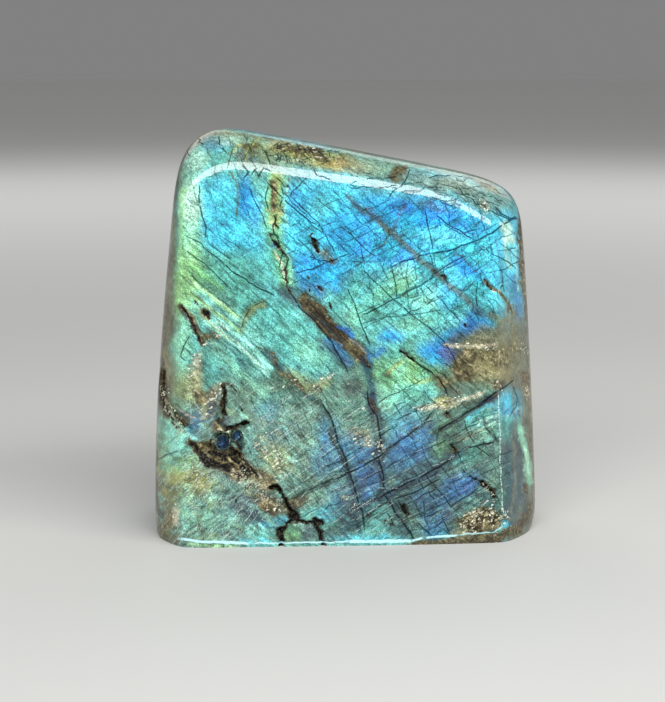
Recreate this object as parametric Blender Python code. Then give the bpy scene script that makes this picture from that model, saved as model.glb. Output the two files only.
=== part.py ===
"""Polished labradorite freeform: one natural stone, sawn flat underneath so that it stands.

The stone is worked as a lapidary works it. A block is ground on a wheel, one plane after
another, and the last passes soften the arrises. Then the natural pits that the grinding
did not reach are sunk into the front.
Metres, +Z up. The origin is the middle of the flat foot, and the front faces -Y.
"""
import math

import bmesh
import bpy
import numpy as np

MM = 0.001

# The raw block, before grinding (mm).
BLOCK_WIDTH = 99.0
BLOCK_DEPTH = 52.0
BLOCK_HEIGHT = 102.0
COLUMNS = 33
ROWS_UP = 35
ROWS_DEEP = 12
EDGE_CROWDING = 0.45      # 0 spaces the rows evenly, towards 1 crowds them at the arrises

# The wheel grinds towards this point, which stays half way up the finished stone (mm).
HEART = np.array([-2.5, -0.6, 50.0])
SAW_ALLOWANCE = 1.5       # stone left below the foot until it is sawn off
SAW_SOFTNESS = 0.4
SAW_SNAP = 0.02           # points this close to the saw cut are moved onto it

# Ground planes: the way each faces (degrees, 0 is the front and 90 the right-hand side),
# how far it looks up, its distance from the heart (mm) and how soft its arrises are (mm).
GROUND_PLANES = {
    "front": (2.5, 4.5, 20.9, 1.2),
    "front crest": (9.5, 42.0, 41.0, 1.3),
    "front crest, left end": (-30.0, 39.0, 53.2, 1.3),
    "front crest, right end": (39.5, 43.0, 48.3, 1.3),
    "top": (90.0, 78.5, 48.2, 1.6),
    "top, falling away": (88.0, 78.0, 50.2, 1.6),
    "top left corner": (-90.0, 48.5, 62.5, 2.6),
    "top right corner": (90.0, 44.0, 60.4, 3.0),
    "left side, upper": (-90.0, 6.5, 44.8, 1.8),
    "left side, lower": (-90.0, -1.0, 48.0, 1.8),
    "right side, upper": (90.0, 4.5, 51.7, 1.8),
    "right side, lower": (90.0, 2.0, 50.9, 1.8),
    "front left facet": (-51.5, 3.0, 44.3, 1.2),
    "front right facet": (53.5, 4.5, 43.4, 1.0),
    "back": (174.0, 8.0, 19.5, 3.0),
    "back, upper left": (-150.0, 20.0, 36.5, 3.0),
    "back left": (-128.0, 6.0, 42.0, 3.0),
    "back right": (132.0, 7.0, 40.5, 3.0),
    "back crest": (176.0, 50.0, 38.0, 2.5),
    "foot left": (-90.0, -46.0, 69.7, 1.5),
    "foot right": (90.0, -44.0, 71.7, 1.5),
    "foot front": (7.5, -25.0, 46.1, 0.8),
    "foot back": (178.0, -35.0, 46.5, 1.2),
}

# Natural cavities in the front, as a route of (across from the heart, up from the foot)
# points with a half width and a depth (mm).
CAVITIES = {
    "vug": ([(-33.0, 23.0), (-30.0, 23.5), (-26.5, 21.0), (-24.0, 18.5)], 3.4, 3.2),
    "vug, shallow end": ([(-36.5, 26.5), (-33.0, 23.0)], 1.8, 1.3),
    "vug, branch": ([(-27.5, 30.0), (-22.5, 31.0)], 1.2, 0.9),
    "crack above the vug": ([(-28.5, 27.0), (-28.0, 33.0), (-28.5, 40.5)], 1.2, 1.0),
    "fork, stem": ([(-16.5, 15.0), (-13.5, 12.5), (-11.0, 7.5)], 1.3, 1.6),
    "fork, left leg": ([(-11.0, 7.5), (-14.0, 4.5), (-14.5, 1.5)], 1.3, 1.6),
    "fork, right leg": ([(-11.0, 7.5), (-5.5, 6.0), (-3.5, 1.5)], 1.2, 1.4),
    "gash": ([(-39.0, 60.0), (-36.5, 57.0), (-33.0, 50.5)], 1.2, 1.2),
    "rough corner": ([(31.5, 5.0), (35.5, 8.0), (39.5, 5.5)], 3.0, 0.7),
    "slit": ([(33.5, 17.0), (36.5, 15.0), (39.5, 12.5)], 1.1, 1.0),
}
REFINE_MARGIN = 0.9       # finer mesh reaches this far past a cavity's rim (mm)
COARSE_EDGE = 1.6         # edges longer than this are split there (mm)
FRONT_LIMIT = -14.5       # cavities are only cut into what lies in front of this (mm)

STONE_COLOUR = (0.095, 0.235, 0.275, 1.0)
STONE_ROUGHNESS = 0.16
STONE_METALLIC = 0.15


def facing(azimuth, elevation):
    """Unit vector that points out of a plane turned to azimuth and tipped up by elevation."""
    turn, tip = math.radians(azimuth), math.radians(elevation)
    return (math.sin(turn) * math.cos(tip), -math.cos(turn) * math.cos(tip), math.sin(tip))


def wheel_settings():
    """Normals, distances and softnesses of every ground plane and of the rough underside."""
    rows = [(facing(turn, tip), reach, soft) for turn, tip, reach, soft in GROUND_PLANES.values()]
    rows.append(((0.0, 0.0, -1.0), HEART[2] + SAW_ALLOWANCE, SAW_SOFTNESS))
    normals = np.array([row[0] for row in rows])
    reaches = np.array([row[1] for row in rows])
    softness = np.array([row[2] for row in rows])
    return normals, reaches, softness


def grind(points):
    """Move each point along its ray from the heart to the ground surface (mm).

    A plane alone would be met where its term is 1. Where two planes meet their terms add
    up, so the surface is reached earlier, and that rounds the arris between them.
    """
    normals, reaches, softness = wheel_settings()
    rays = points - HEART
    rays /= np.linalg.norm(rays, axis=1)[:, None]
    slopes = rays @ normals.T
    inner = np.zeros(len(points))
    outer = np.full(len(points), 1.5 * BLOCK_HEIGHT)
    for _ in range(48):
        middle = (inner + outer) / 2
        reached = (slopes * middle[:, None] - reaches) / softness
        is_inside = np.exp(np.clip(reached, -60, 60)).sum(axis=1) < 1
        inner = np.where(is_inside, middle, inner)
        outer = np.where(is_inside, outer, middle)
    return HEART + rays * inner[:, None]


def distance_to_route(across, up, route):
    """Shortest distance from each (across, up) position to a route of straight legs."""
    nearest = np.full(len(across), np.inf)
    for (x0, z0), (x1, z1) in zip(route[:-1], route[1:]):
        leg_x, leg_z = x1 - x0, z1 - z0
        along = ((across - x0) * leg_x + (up - z0) * leg_z) / (leg_x ** 2 + leg_z ** 2)
        along = np.clip(along, 0, 1)
        gap = np.hypot(across - x0 - along * leg_x, up - z0 - along * leg_z)
        nearest = np.minimum(nearest, gap)
    return nearest


def cavity_depth(points):
    """How deep the cavities are at each point of the front (mm)."""
    across, up = points[:, 0] - HEART[0], points[:, 2]
    depth = np.zeros(len(points))
    for route, half_width, deepest in CAVITIES.values():
        closeness = 1 - distance_to_route(across, up, route) / half_width
        closeness = np.clip(closeness, 0, 1)
        bowl = closeness * (2 - closeness)
        knobbly = 0.82 + 0.18 * np.sin(1.9 * across) * np.sin(2.3 * up + 0.6)
        depth = np.maximum(depth, deepest * bowl * knobbly)
    depth[points[:, 1] > FRONT_LIMIT] = 0
    return depth


def read_points(bm):
    return np.array([vert.co[:] for vert in bm.verts])


def write_points(bm, points):
    for vert, point in zip(bm.verts, points):
        vert.co = point


def raw_block():
    """A block of even rows, crowded a little towards its arrises (mm)."""
    bm = bmesh.new()
    bmesh.ops.create_cube(bm, size=2.0)
    for axis, rows in ((0, COLUMNS), (1, ROWS_DEEP), (2, ROWS_UP)):
        lengthwise = []
        for edge in bm.edges:
            start, end = edge.verts
            if abs(start.co[axis] - end.co[axis]) > 1e-4:
                lengthwise.append(edge)
        bmesh.ops.subdivide_edges(bm, edges=lengthwise, cuts=rows - 1, use_grid_fill=True)
    unit = read_points(bm)
    crowded = (1 - EDGE_CROWDING) * unit + EDGE_CROWDING * np.sin(unit * math.pi / 2)
    half_size = np.array([BLOCK_WIDTH, BLOCK_DEPTH, BLOCK_HEIGHT]) / 2
    write_points(bm, HEART + crowded * half_size)
    return bm


def refine_near_cavities(bm):
    """Part the mesh spacing in three where a cavity will be sunk."""
    for route, half_width, _ in CAVITIES.values():
        near_faces = []
        for face in bm.faces:
            centre = face.calc_center_median()
            across = np.array([centre.x - HEART[0]])
            gap = distance_to_route(across, np.array([centre.z]), route)[0]
            if centre.y < FRONT_LIMIT and gap < half_width + REFINE_MARGIN:
                near_faces.append(face)
        edges = {edge for face in near_faces for edge in face.edges}
        long_edges = [edge for edge in edges if edge.calc_length() > COARSE_EDGE]
        bmesh.ops.subdivide_edges(bm, edges=long_edges, cuts=2, use_grid_fill=True)


def sink_cavities(bm):
    """Push the front in by the depth of the cavities, straight back."""
    points = read_points(bm)
    points[:, 1] += cavity_depth(points)
    write_points(bm, points)


def saw_foot(bm):
    """Saw the stone off level with the ground, which leaves one flat face to stand on."""
    geometry = bm.verts[:] + bm.edges[:] + bm.faces[:]
    cut = bmesh.ops.bisect_plane(
        bm, geom=geometry, dist=SAW_SNAP, plane_co=(0, 0, 0), plane_no=(0, 0, 1), clear_inner=True
    )
    rim = [item for item in cut["geom_cut"] if isinstance(item, bmesh.types.BMEdge)]
    for vert in {vert for edge in rim for vert in edge.verts}:
        vert.co.z = 0.0
    bmesh.ops.contextual_create(bm, geom=rim)


def stone_material():
    material = bpy.data.materials.new("polished_labradorite")
    material.use_nodes = True
    shader = material.node_tree.nodes["Principled BSDF"]
    shader.inputs["Base Color"].default_value = STONE_COLOUR
    shader.inputs["Roughness"].default_value = STONE_ROUGHNESS
    shader.inputs["Metallic"].default_value = STONE_METALLIC
    material.diffuse_color = STONE_COLOUR
    return material


def labradorite_stone():
    bm = raw_block()
    write_points(bm, grind(read_points(bm)))
    refine_near_cavities(bm)
    write_points(bm, grind(read_points(bm)))
    sink_cavities(bm)
    saw_foot(bm)
    bmesh.ops.scale(bm, vec=(MM, MM, MM), verts=bm.verts)
    bmesh.ops.recalc_face_normals(bm, faces=bm.faces)
    mesh = bpy.data.meshes.new("labradorite_stone")
    bm.to_mesh(mesh)
    bm.free()
    mesh.shade_smooth()
    mesh.materials.append(stone_material())
    stone = bpy.data.objects.new("labradorite_stone", mesh)
    bpy.context.scene.collection.objects.link(stone)
    return stone


for leftover in list(bpy.data.objects):
    bpy.data.objects.remove(leftover)
labradorite_stone()
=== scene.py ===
# %% [markdown]
# # A polished labradorite freeform
#
# Labradorite is a grey feldspar that flashes blue, green and gold where thin layers inside
# it scatter the light. This stone was sawn flat underneath, ground on a wheel on every
# other side and polished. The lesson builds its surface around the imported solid: first the
# ground shape, then the natural pits, then the colours of the flash, the veins and cracks,
# and last the room it stands in.

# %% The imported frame
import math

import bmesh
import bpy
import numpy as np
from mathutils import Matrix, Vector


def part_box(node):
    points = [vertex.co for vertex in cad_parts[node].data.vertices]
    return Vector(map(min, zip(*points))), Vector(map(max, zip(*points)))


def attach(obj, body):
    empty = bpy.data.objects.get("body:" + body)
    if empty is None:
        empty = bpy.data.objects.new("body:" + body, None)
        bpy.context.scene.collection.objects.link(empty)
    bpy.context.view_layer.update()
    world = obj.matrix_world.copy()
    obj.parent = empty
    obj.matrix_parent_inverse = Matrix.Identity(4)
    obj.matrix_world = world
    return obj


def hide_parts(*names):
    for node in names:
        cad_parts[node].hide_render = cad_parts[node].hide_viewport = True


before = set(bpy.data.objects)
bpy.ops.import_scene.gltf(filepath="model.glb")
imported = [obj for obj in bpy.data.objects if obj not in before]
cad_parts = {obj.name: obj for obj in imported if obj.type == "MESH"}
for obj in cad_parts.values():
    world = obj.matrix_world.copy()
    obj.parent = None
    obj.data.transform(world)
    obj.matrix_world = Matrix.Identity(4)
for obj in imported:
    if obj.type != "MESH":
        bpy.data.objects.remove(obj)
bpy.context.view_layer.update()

# %% [markdown]
# Everything else comes with Blender. numpy moves and paints many thousands of mesh points
# at once, which a Python loop over vertices would do slowly. Sizes are in millimetres
# while the stone is worked, because that is how a stone is measured, and they become
# metres when the points go back into the mesh.

MM = 0.001
NODE = "labradorite_stone"
low_corner, high_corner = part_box(NODE)
print("the solid is", [round(side / MM, 1) for side in high_corner - low_corner], "mm")

# %% [markdown]
# The marks on the face have to land in the right places, so they are drawn on a tracing
# sheet: a sheet of squared paper held between the eye and the stone. The eye is where the
# camera will be. Each mesh point is looked up on the sheet once, while the stone is made,
# and what is drawn there is stored on the mesh, so that it stays on the stone when the
# camera moves.

# %% The tracing sheet
SHEET_WIDTH = 665
SHEET_HEIGHT = 702
SQUARE = 0.26                 # one square of the sheet, measured at the stone (mm)
EYE_DISTANCE = 450.0          # mm
EYE_ELEVATION = math.radians(10)
LOOK_AT = np.array([-3.65, -0.6, 45.2])
TO_EYE = np.array([0.0, -math.cos(EYE_ELEVATION), math.sin(EYE_ELEVATION)])
SHEET_UP = np.array([0.0, math.sin(EYE_ELEVATION), math.cos(EYE_ELEVATION)])
EYE = LOOK_AT + TO_EYE * EYE_DISTANCE


def on_sheet(points):
    """Sheet position (squares right, squares down) of points given in mm."""
    away = EYE - points
    squares_per_mm = EYE_DISTANCE / SQUARE / (away @ TO_EYE)
    right = SHEET_WIDTH / 2 - away[:, 0] * squares_per_mm
    down = SHEET_HEIGHT / 2 + (away @ SHEET_UP) * squares_per_mm
    return right, down


print("the eye is at", EYE.round(1), "mm")

# %% [markdown]
# The eye sees only the front. The sides and the back get a second sheet, wrapped round the
# stone like the label of a jar, and the top gets a third one that is held above it. They
# lie past the right edge of the first, so that one pair of numbers names any place on the
# stone, and the same helpers can draw everywhere.

# %% The label and the lid
LABEL_START = 1000.0          # where the label begins, in squares to the right
LABEL_RADIUS = 40.0           # mm
LID_MIDDLE = np.array([2200.0, 200.0])


def on_label(points):
    """Label position of points: rightwards from the front by the right side to the back."""
    turn = np.arctan2(points[:, 0], -points[:, 1]) % (2 * math.pi)
    return LABEL_START + turn * LABEL_RADIUS / SQUARE, (high_corner[2] / MM - points[:, 2]) / SQUARE


def on_lid(points):
    """Lid position of points, seen from above."""
    return LID_MIDDLE[0] + points[:, 0] / SQUARE, LID_MIDDLE[1] - points[:, 1] / SQUARE


print("the label is", round(2 * math.pi * LABEL_RADIUS / SQUARE), "squares long")

# %% [markdown]
# A lapidary grinds one plane after another, and the last passes soften the arrises. Each
# row below is one pass: the way its plane faces, how far it looks up, its distance from
# the heart of the stone, and how soft its arrises are. A stack of Bevel modifiers could
# round a cut polyhedron, but a rule that adds the planes up gives every arris its own
# softness and stays smooth where three of them meet.

# %% The ground planes
HEART = np.array([-2.5, -0.6, 50.0])
SAW_ALLOWANCE = 1.5
SAW_SOFTNESS = 0.4
GROUND_PLANES = {
    "front": (2.5, 4.5, 20.9, 1.2),
    "front crest": (9.5, 42.0, 41.0, 1.3),
    "front crest, left end": (-30.0, 39.0, 53.2, 1.3),
    "front crest, right end": (39.5, 43.0, 48.3, 1.3),
    "top": (90.0, 78.5, 48.2, 1.6),
    "top, falling away": (88.0, 78.0, 50.2, 1.6),
    "top left corner": (-90.0, 48.5, 62.5, 2.6),
    "top right corner": (90.0, 44.0, 60.4, 3.0),
    "left side, upper": (-90.0, 6.5, 44.8, 1.8),
    "left side, lower": (-90.0, -1.0, 48.0, 1.8),
    "right side, upper": (90.0, 4.5, 51.7, 1.8),
    "right side, lower": (90.0, 2.0, 50.9, 1.8),
    "front left facet": (-51.5, 3.0, 44.3, 1.2),
    "front right facet": (53.5, 4.5, 43.4, 1.0),
    "back": (174.0, 8.0, 19.5, 3.0),
    "back, upper left": (-150.0, 20.0, 36.5, 3.0),
    "back left": (-128.0, 6.0, 42.0, 3.0),
    "back right": (132.0, 7.0, 40.5, 3.0),
    "back crest": (176.0, 50.0, 38.0, 2.5),
    "foot left": (-90.0, -46.0, 69.7, 1.5),
    "foot right": (90.0, -44.0, 71.7, 1.5),
    "foot front": (7.5, -25.0, 46.1, 0.8),
    "foot back": (178.0, -35.0, 46.5, 1.2),
}


def facing(azimuth, elevation):
    """Unit vector out of a plane turned to azimuth (0 is the front) and tipped up."""
    turn, tip = math.radians(azimuth), math.radians(elevation)
    return (math.sin(turn) * math.cos(tip), -math.cos(turn) * math.cos(tip), math.sin(tip))


passes = list(GROUND_PLANES.values()) + [(0.0, -90.0, HEART[2] + SAW_ALLOWANCE, SAW_SOFTNESS)]
PLANE_NORMALS = np.array([facing(turn, tip) for turn, tip, _, _ in passes])
PLANE_REACH = np.array([reach for _, _, reach, _ in passes])
PLANE_SOFTNESS = np.array([softness for _, _, _, softness in passes])
print(len(passes), "passes on the wheel")

# %% [markdown]
# Grinding moves a point along the ray from the heart until it meets the ground surface.
# The search halves the interval again and again, which is slower than a formula but works
# for any set of planes. The direction that the surface faces is the average of the planes,
# each weighted by how much it shaped that point.

# %% The wheel
FARTHEST = 160.0              # no point of the stone is this far from its heart (mm)
HALVINGS = 40


def nearness_to_planes(points):
    """How strongly each plane shapes each point: the terms add up to 1 on the surface."""
    beyond = ((points - HEART) @ PLANE_NORMALS.T - PLANE_REACH) / PLANE_SOFTNESS
    return np.exp(np.clip(beyond, -60, 60))


def grind(points):
    """Points moved onto the ground surface, along their rays from the heart (mm)."""
    rays = points - HEART
    rays /= np.linalg.norm(rays, axis=1)[:, None]
    inner = np.zeros(len(points))
    outer = np.full(len(points), FARTHEST)
    for _ in range(HALVINGS):
        middle = (inner + outer) / 2
        is_inside = nearness_to_planes(HEART + rays * middle[:, None]).sum(axis=1) < 1
        inner = np.where(is_inside, middle, inner)
        outer = np.where(is_inside, outer, middle)
    return HEART + rays * inner[:, None]


def ground_facing(points):
    """Unit vectors that point straight out of the ground surface."""
    direction = (nearness_to_planes(points) / PLANE_SOFTNESS) @ PLANE_NORMALS
    return direction / np.linalg.norm(direction, axis=1)[:, None]


def read_points(piece):
    """The mesh points of a piece (mm)."""
    flat = np.empty(len(piece.data.vertices) * 3)
    piece.data.vertices.foreach_get("co", flat)
    return flat.reshape(-1, 3) / MM


def write_points(piece, points):
    piece.data.vertices.foreach_set("co", (points * MM).ravel())
    piece.data.update()


# %% [markdown]
# The block starts as Blender's cube. Cutting the edges that run one way, then the next,
# gives even rows, and they are crowded a little towards the arrises, where the surface
# bends. A UV sphere would also wrap the stone, but its poles would pinch the mesh.

# %% The raw block
BLOCK_SIZE = np.array([99.0, 54.0, 103.0])
ROWS = {0: 80, 1: 27, 2: 84}  # rows across, deep and up
CROWDING = 0.4

bpy.ops.object.select_all(action="DESELECT")
bpy.ops.mesh.primitive_cube_add(size=2.0, location=(0, 0, 0))
stone = bpy.context.object
stone.name = "polished_stone"


def select_edges_along(piece, axis):
    """In edit mode, select only the edges that run along one axis."""
    bpy.ops.mesh.select_mode(type="EDGE")
    bpy.ops.mesh.select_all(action="DESELECT")
    bm = bmesh.from_edit_mesh(piece.data)
    for edge in bm.edges:
        start, end = edge.verts
        if abs(start.co[axis] - end.co[axis]) > 1e-4:
            edge.select_set(True)
    bmesh.update_edit_mesh(piece.data)


bpy.ops.object.mode_set(mode="EDIT")
for axis, rows in ROWS.items():
    select_edges_along(stone, axis)
    bpy.ops.mesh.subdivide(number_cuts=rows - 1)
bpy.ops.object.mode_set(mode="OBJECT")

unit = read_points(stone) * MM
crowded = (1 - CROWDING) * unit + CROWDING * np.sin(unit * math.pi / 2)
write_points(stone, grind(HEART + crowded * BLOCK_SIZE / 2))
print("raw block:", len(stone.data.polygons), "faces")

# %% [markdown]
# The front carries all the fine marks, so its faces are cut in three each way and ground
# again. Only faces that look at the eye are cut. The rest of the stone keeps wider rows,
# and the whole piece stays light enough to share.

# %% A finer front
FACES_THE_EYE = 0.3           # cosine between a face and the way to the eye

bpy.ops.object.mode_set(mode="EDIT")
bpy.ops.mesh.select_mode(type="FACE")
bpy.ops.mesh.select_all(action="DESELECT")
bm = bmesh.from_edit_mesh(stone.data)
for face in bm.faces:
    face.select_set(bool(np.dot(face.normal, TO_EYE) > FACES_THE_EYE))
bmesh.update_edit_mesh(stone.data)
bpy.ops.mesh.subdivide(number_cuts=2)
bpy.ops.object.mode_set(mode="OBJECT")
write_points(stone, grind(read_points(stone)))

bpy.ops.object.mode_set(mode="EDIT")
bpy.ops.mesh.select_all(action="SELECT")
bpy.ops.mesh.bisect(plane_co=(0, 0, 0), plane_no=(0, 0, 1), use_fill=True, clear_inner=True,
                    threshold=1e-5)
bpy.ops.object.mode_set(mode="OBJECT")
triangles = sum(len(face.vertices) - 2 for face in stone.data.polygons)
print("ground stone:", len(stone.data.polygons), "faces,", triangles, "triangles")

# %% [markdown]
# Natural edges are never quite straight. A lattice of fixed pseudo-random values, blended
# smoothly, pushes the drawing about a little. It gives the same result on every run,
# because its values come from a formula and not from a random draw. The colours are drawn
# in two drafts with different pushes. The finish switches between the drafts in thin
# fibres, so the border between two colours comes out ragged and sharp, as in the stone.

# %% Unevenness
def lattice(cells, seed):
    """A repeatable value from 0 to 1 for each whole-number cell."""
    mixed = cells @ np.array([127.1, 311.7, 74.7])[: cells.shape[1]] + seed * 53.3
    return np.modf(np.abs(np.sin(mixed) * 43758.5453))[0]


def cloud(positions, size, seed):
    """Smooth unevenness from -1 to 1 over 2-D or 3-D positions."""
    scaled = positions / size
    cell = np.floor(scaled)
    part = scaled - cell
    part = part * part * (3 - 2 * part)
    total = np.zeros(len(positions))
    for corner in np.ndindex(*([2] * positions.shape[1])):
        corner = np.array(corner)
        weight = np.prod(np.where(corner == 1, part, 1 - part), axis=1)
        total += weight * lattice(cell + corner, seed)
    return 2 * total - 1


points = read_points(stone)
outward = ground_facing(points)
towards_eye = outward @ TO_EYE
LID_BEGINS = 0.93             # how far up a surface has to face to lie under the lid
faces_up = outward[:, 2] > LID_BEGINS
turned_away = towards_eye <= 0
off_lid = np.where(turned_away, on_label(points), on_sheet(points))
right, down = np.where(faces_up, on_lid(points), off_lid)
spots = np.stack([right, down], axis=1)
to_border = np.minimum(np.where(faces_up, 1.0, np.abs(towards_eye)),
                       3 * np.abs(outward[:, 2] - LID_BEGINS))
border_fade = to_border + 0.07 * cloud(points, 8, 75) + 0.04 * cloud(points, 3, 76)
border_fade = np.clip((border_fade - 0.06) / 0.12, 0, 1)


def waver(seed, swing):
    """A small push for each point, from a broad, a middle and a fine field."""
    broad = 2.4 * cloud(spots, 15, seed) + 1.6 * cloud(spots, 6, seed + 1)
    return swing * (broad + 0.8 * cloud(spots, 2.6, seed + 2))


wavy_right = np.concatenate([right + waver(1, 0.35), right + waver(90, 1.1)])
wavy_down = np.concatenate([down + waver(4, 0.35), down + waver(94, 1.1)])
line_right = right + 0.8 * cloud(spots, 9, 7) + 0.4 * cloud(spots, 3.5, 8)
line_down = down + 0.8 * cloud(spots, 9, 9) + 0.4 * cloud(spots, 3.5, 10)
print("sheet covers", right.min().round(), "to", right.max().round())

# %% [markdown]
# Everything that is drawn is typed as a table: a row starts with its colour, if it has one,
# goes on with plain numbers and ends with places on the sheet. Two helpers draw from such
# rows. A stroke is a line of some width along a route, and a blot is a soft oval. Each
# returns how strongly it covers every mesh point, from 0 to 1, so the same helpers serve
# for colour and for depth.

# %% Drawing helpers
def table(text):
    """Rows of words, then numbers, then one array of all the places typed as x,y."""
    rows = []
    for line in text.strip().splitlines():
        words = line.split()
        plain = [word if word.isalpha() else float(word) for word in words if "," not in word]
        places = [[float(part) for part in word.split(",")] for word in words if "," in word]
        rows.append((*plain, np.array(places)))
    return rows


def smooth(value):
    """0 below 0, 1 above 1, and an S curve between."""
    value = np.clip(value, 0, 1)
    return value * value * (3 - 2 * value)


def nearest_leg(across, along, line):
    """Distance to a line of straight legs, the side it is on and how far along it."""
    best = np.full(len(across), 1e9)
    side = np.zeros(len(across))
    place = np.zeros(len(across))
    for number, (start, end) in enumerate(zip(line[:-1], line[1:])):
        leg = end - start
        from_start = np.stack([across, along], axis=1) - start
        share = np.clip(from_start @ leg / (leg @ leg), 0, 1)
        gap = from_start - share[:, None] * leg
        distance = np.hypot(gap[:, 0], gap[:, 1])
        turn = leg[0] * from_start[:, 1] - leg[1] * from_start[:, 0]
        closer = distance < best
        best = np.where(closer, distance, best)
        side = np.where(closer, np.sign(turn), side)
        place = np.where(closer, (number + share) / (len(line) - 1), place)
    return best, side, place


def beside(line, reach, across, along):
    """Numbers of the points within reach of the box around a line."""
    low, high = line.min(axis=0) - reach, line.max(axis=0) + reach
    is_near = (across > low[0]) & (across < high[0]) & (along > low[1]) & (along < high[1])
    return np.flatnonzero(is_near)


def stroke(line, width, edge=0.5, across=wavy_right, along=wavy_down):
    """Cover of a stroke: width in squares, edge from 0 (hard) to 1 (soft all through)."""
    near = beside(line, width, across, along)
    distance = nearest_leg(across[near], along[near], line)[0]
    half = width / 2
    cover = np.zeros(len(across))
    cover[near] = smooth((half * (1 + edge) - distance) / (2 * half * edge + 0.6))
    return cover * np.resize(border_fade, len(cover))


def blot(centre, radii, tilt=0.0, edge=0.6, across=wavy_right, along=wavy_down):
    """Cover of a soft oval, its long axis turned clockwise by tilt degrees."""
    turn = math.radians(tilt)
    dx, dy = across - centre[0], along - centre[1]
    u = (dx * math.cos(turn) + dy * math.sin(turn)) / radii[0]
    v = (-dx * math.sin(turn) + dy * math.cos(turn)) / radii[1]
    cover = smooth((1 + edge - np.hypot(u, v)) / (2 * edge))
    return cover * np.resize(border_fade, len(cover))


print("drawing helpers ready for", len(points), "mesh points")

# %% [markdown]
# Polishing only reaches the high ground. Natural pits stay open below it: a vug at the
# lower left, a forked channel that runs out under the foot, a seam near the left edge and
# many pinholes. They are real depth, pushed into the mesh straight down from the polished
# face, with ragged walls and a knobbly floor. The polish itself is a trace uneven too. A
# Boolean with lumpy cutters would give the same holes, but it would break up the even mesh
# that the fine marks need. The rows say how wide and how deep a pit is (mm), and where.

# %% The pits
VUG = table("""
7 1 192,444 198,452 205,458 214,461
14 1.7 207,450 217,453 227,454 236,459
13 2 218,442 226,440
10 1 230,460 240,468 250,474
6 1.5 228,430 236,427 246,424
7 1.2 238,434 240,446
4 1 223,386 224,400 223,415
6 0.8 214,416 220,424 226,430
7 0.5 174,408 178,414 182,424 188,428
""")
FORK = table("""
4.5 1.5 270,488 276,486 280,490 284,498 288,507 292,513
9 1.6 292,516 295,519
4 1.3 290,520 286,526 281,530
7 1.5 280,531 280,535
4.5 1.5 281,535 281,546
3.5 1 296,519 303,522 312,522
6 1.2 314,521 320,523
4.5 1.3 314,524 319,531 321,538 324,547
""")
SMALL_PITS = table("""
2.5 0.6 182,308 187,314 191,321 196,333 200,341
3 0.35 163,372 163,385 163,396
5.5 1 313,240 316,246
3.5 0.6 317,248 319,250
2.5 0.4 310,236 312,234
3 0.5 330,260 331,262
2.2 0.5 308,275 309,278
2.5 0.5 309,289 309,292
3 0.5 319,287 322,290
2.8 0.6 329,303 331,308
4 0.6 274,241 278,246
2.5 0.5 287,185 289,189
2.4 0.5 195,302 196,304
5 0.8 203,312 208,316
2.2 0.5 217,350 218,351
2.2 0.5 221,368 221,371
2.5 0.5 243,410 243,413
2 0.6 400,351 407,356
3.2 0.8 406,355 413,361
3.4 0.8 452,446 456,450 457,453
3 0.5 446,413 448,415
2 0.6 470,477 476,479 482,483
4.6 1.1 482,483 487,487 492,491 495,497
2.2 0.4 464,472 465,472
5 0.9 403,507 407,514
2.4 0.5 368,514 368,516
2.2 0.4 384,520 386,520
2.2 0.4 390,525 392,525
2.5 0.5 236,499 236,501
2 0.4 502,286 502,287
2.2 0.5 485,280 489,286 495,290
3 0.4 443,275 445,277
2.4 0.4 464,324 465,326
""")
RUBBLE = table("""
11 0.55 463,527 466,518 474,512 485,511 496,516 500,523
13 0.45 470,524 490,523
13 0.25 243,484 256,492 272,505
12 0.35 205,448 216,456 230,464 240,472
10 0.5 236,456 246,470
9 0.35 162,366 163,400
""")

pit_right = line_right + 1.3 * cloud(spots, 3.2, 60) + 0.5 * cloud(spots, 1.8, 62)
pit_down = line_down + 1.3 * cloud(spots, 3.2, 64) + 0.5 * cloud(spots, 1.8, 66)
depth = 0.05 * cloud(points, 13, 68) + 0.02 * cloud(points, 2.6, 69)
openness = np.zeros(len(points))
for width, deepest, line in VUG + FORK + SMALL_PITS:
    cover = stroke(line, width, 0.45, pit_right, pit_down)
    depth = np.maximum(depth, deepest * cover)
    openness = np.maximum(openness, cover * min(1.0, deepest / 0.5))
knobbly = 1 + 0.4 * cloud(points, 1.6, 11) + 0.25 * cloud(points, 0.8, 12)
depth *= knobbly
for width, roughest, line in RUBBLE:
    lumps = 0.5 + 0.5 * cloud(points, 1.1, 13) + 0.35 * cloud(points, 0.55, 14)
    rough_ground = stroke(line, width, 0.3, line_right, line_down)
    depth += rough_ground * roughest * np.clip(lumps, 0, 1.5)
write_points(stone, points - outward * depth[:, None])
print("deepest pit:", depth.max().round(1), "mm")

# %% [markdown]
# The flash is laid on in washes, as with watercolour: broad ones first, then smaller ones
# over them. Every wash takes its colour from one short palette, so the stone keeps to few
# hues. The washes go into a colour attribute on the mesh. A texture painted from outside
# would be simpler, but this way the script needs no picture.

# %% The palette
PALETTE = {
    "sky": (84, 196, 226), "azure": (58, 164, 226), "cobalt": (50, 112, 180),
    "violet": (90, 96, 146), "ice": (110, 220, 240), "turquoise": (110, 196, 190),
    "sea": (100, 174, 160), "mint": (160, 228, 198), "leaf": (124, 188, 134),
    "lime": (168, 222, 158), "straw": (176, 182, 108), "olive": (118, 118, 76),
    "moss": (84, 84, 44), "umber": (70, 58, 38), "soot": (14, 13, 13),
    "gold": (186, 162, 100), "cream": (226, 218, 192), "pearl": (200, 236, 216),
    "beige": (160, 152, 116), "slate": (84, 102, 108), "steel": (66, 122, 168),
    "ink": (34, 54, 76), "pine": (62, 98, 84), "petrol": (48, 86, 98),
    "teal": (62, 118, 126), "ash": (124, 126, 104), "smoke": (104, 112, 104),
    "sage": (122, 156, 138), "haze": (108, 148, 136), "rust": (110, 72, 48), "foam": (162, 238, 222),
}
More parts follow.
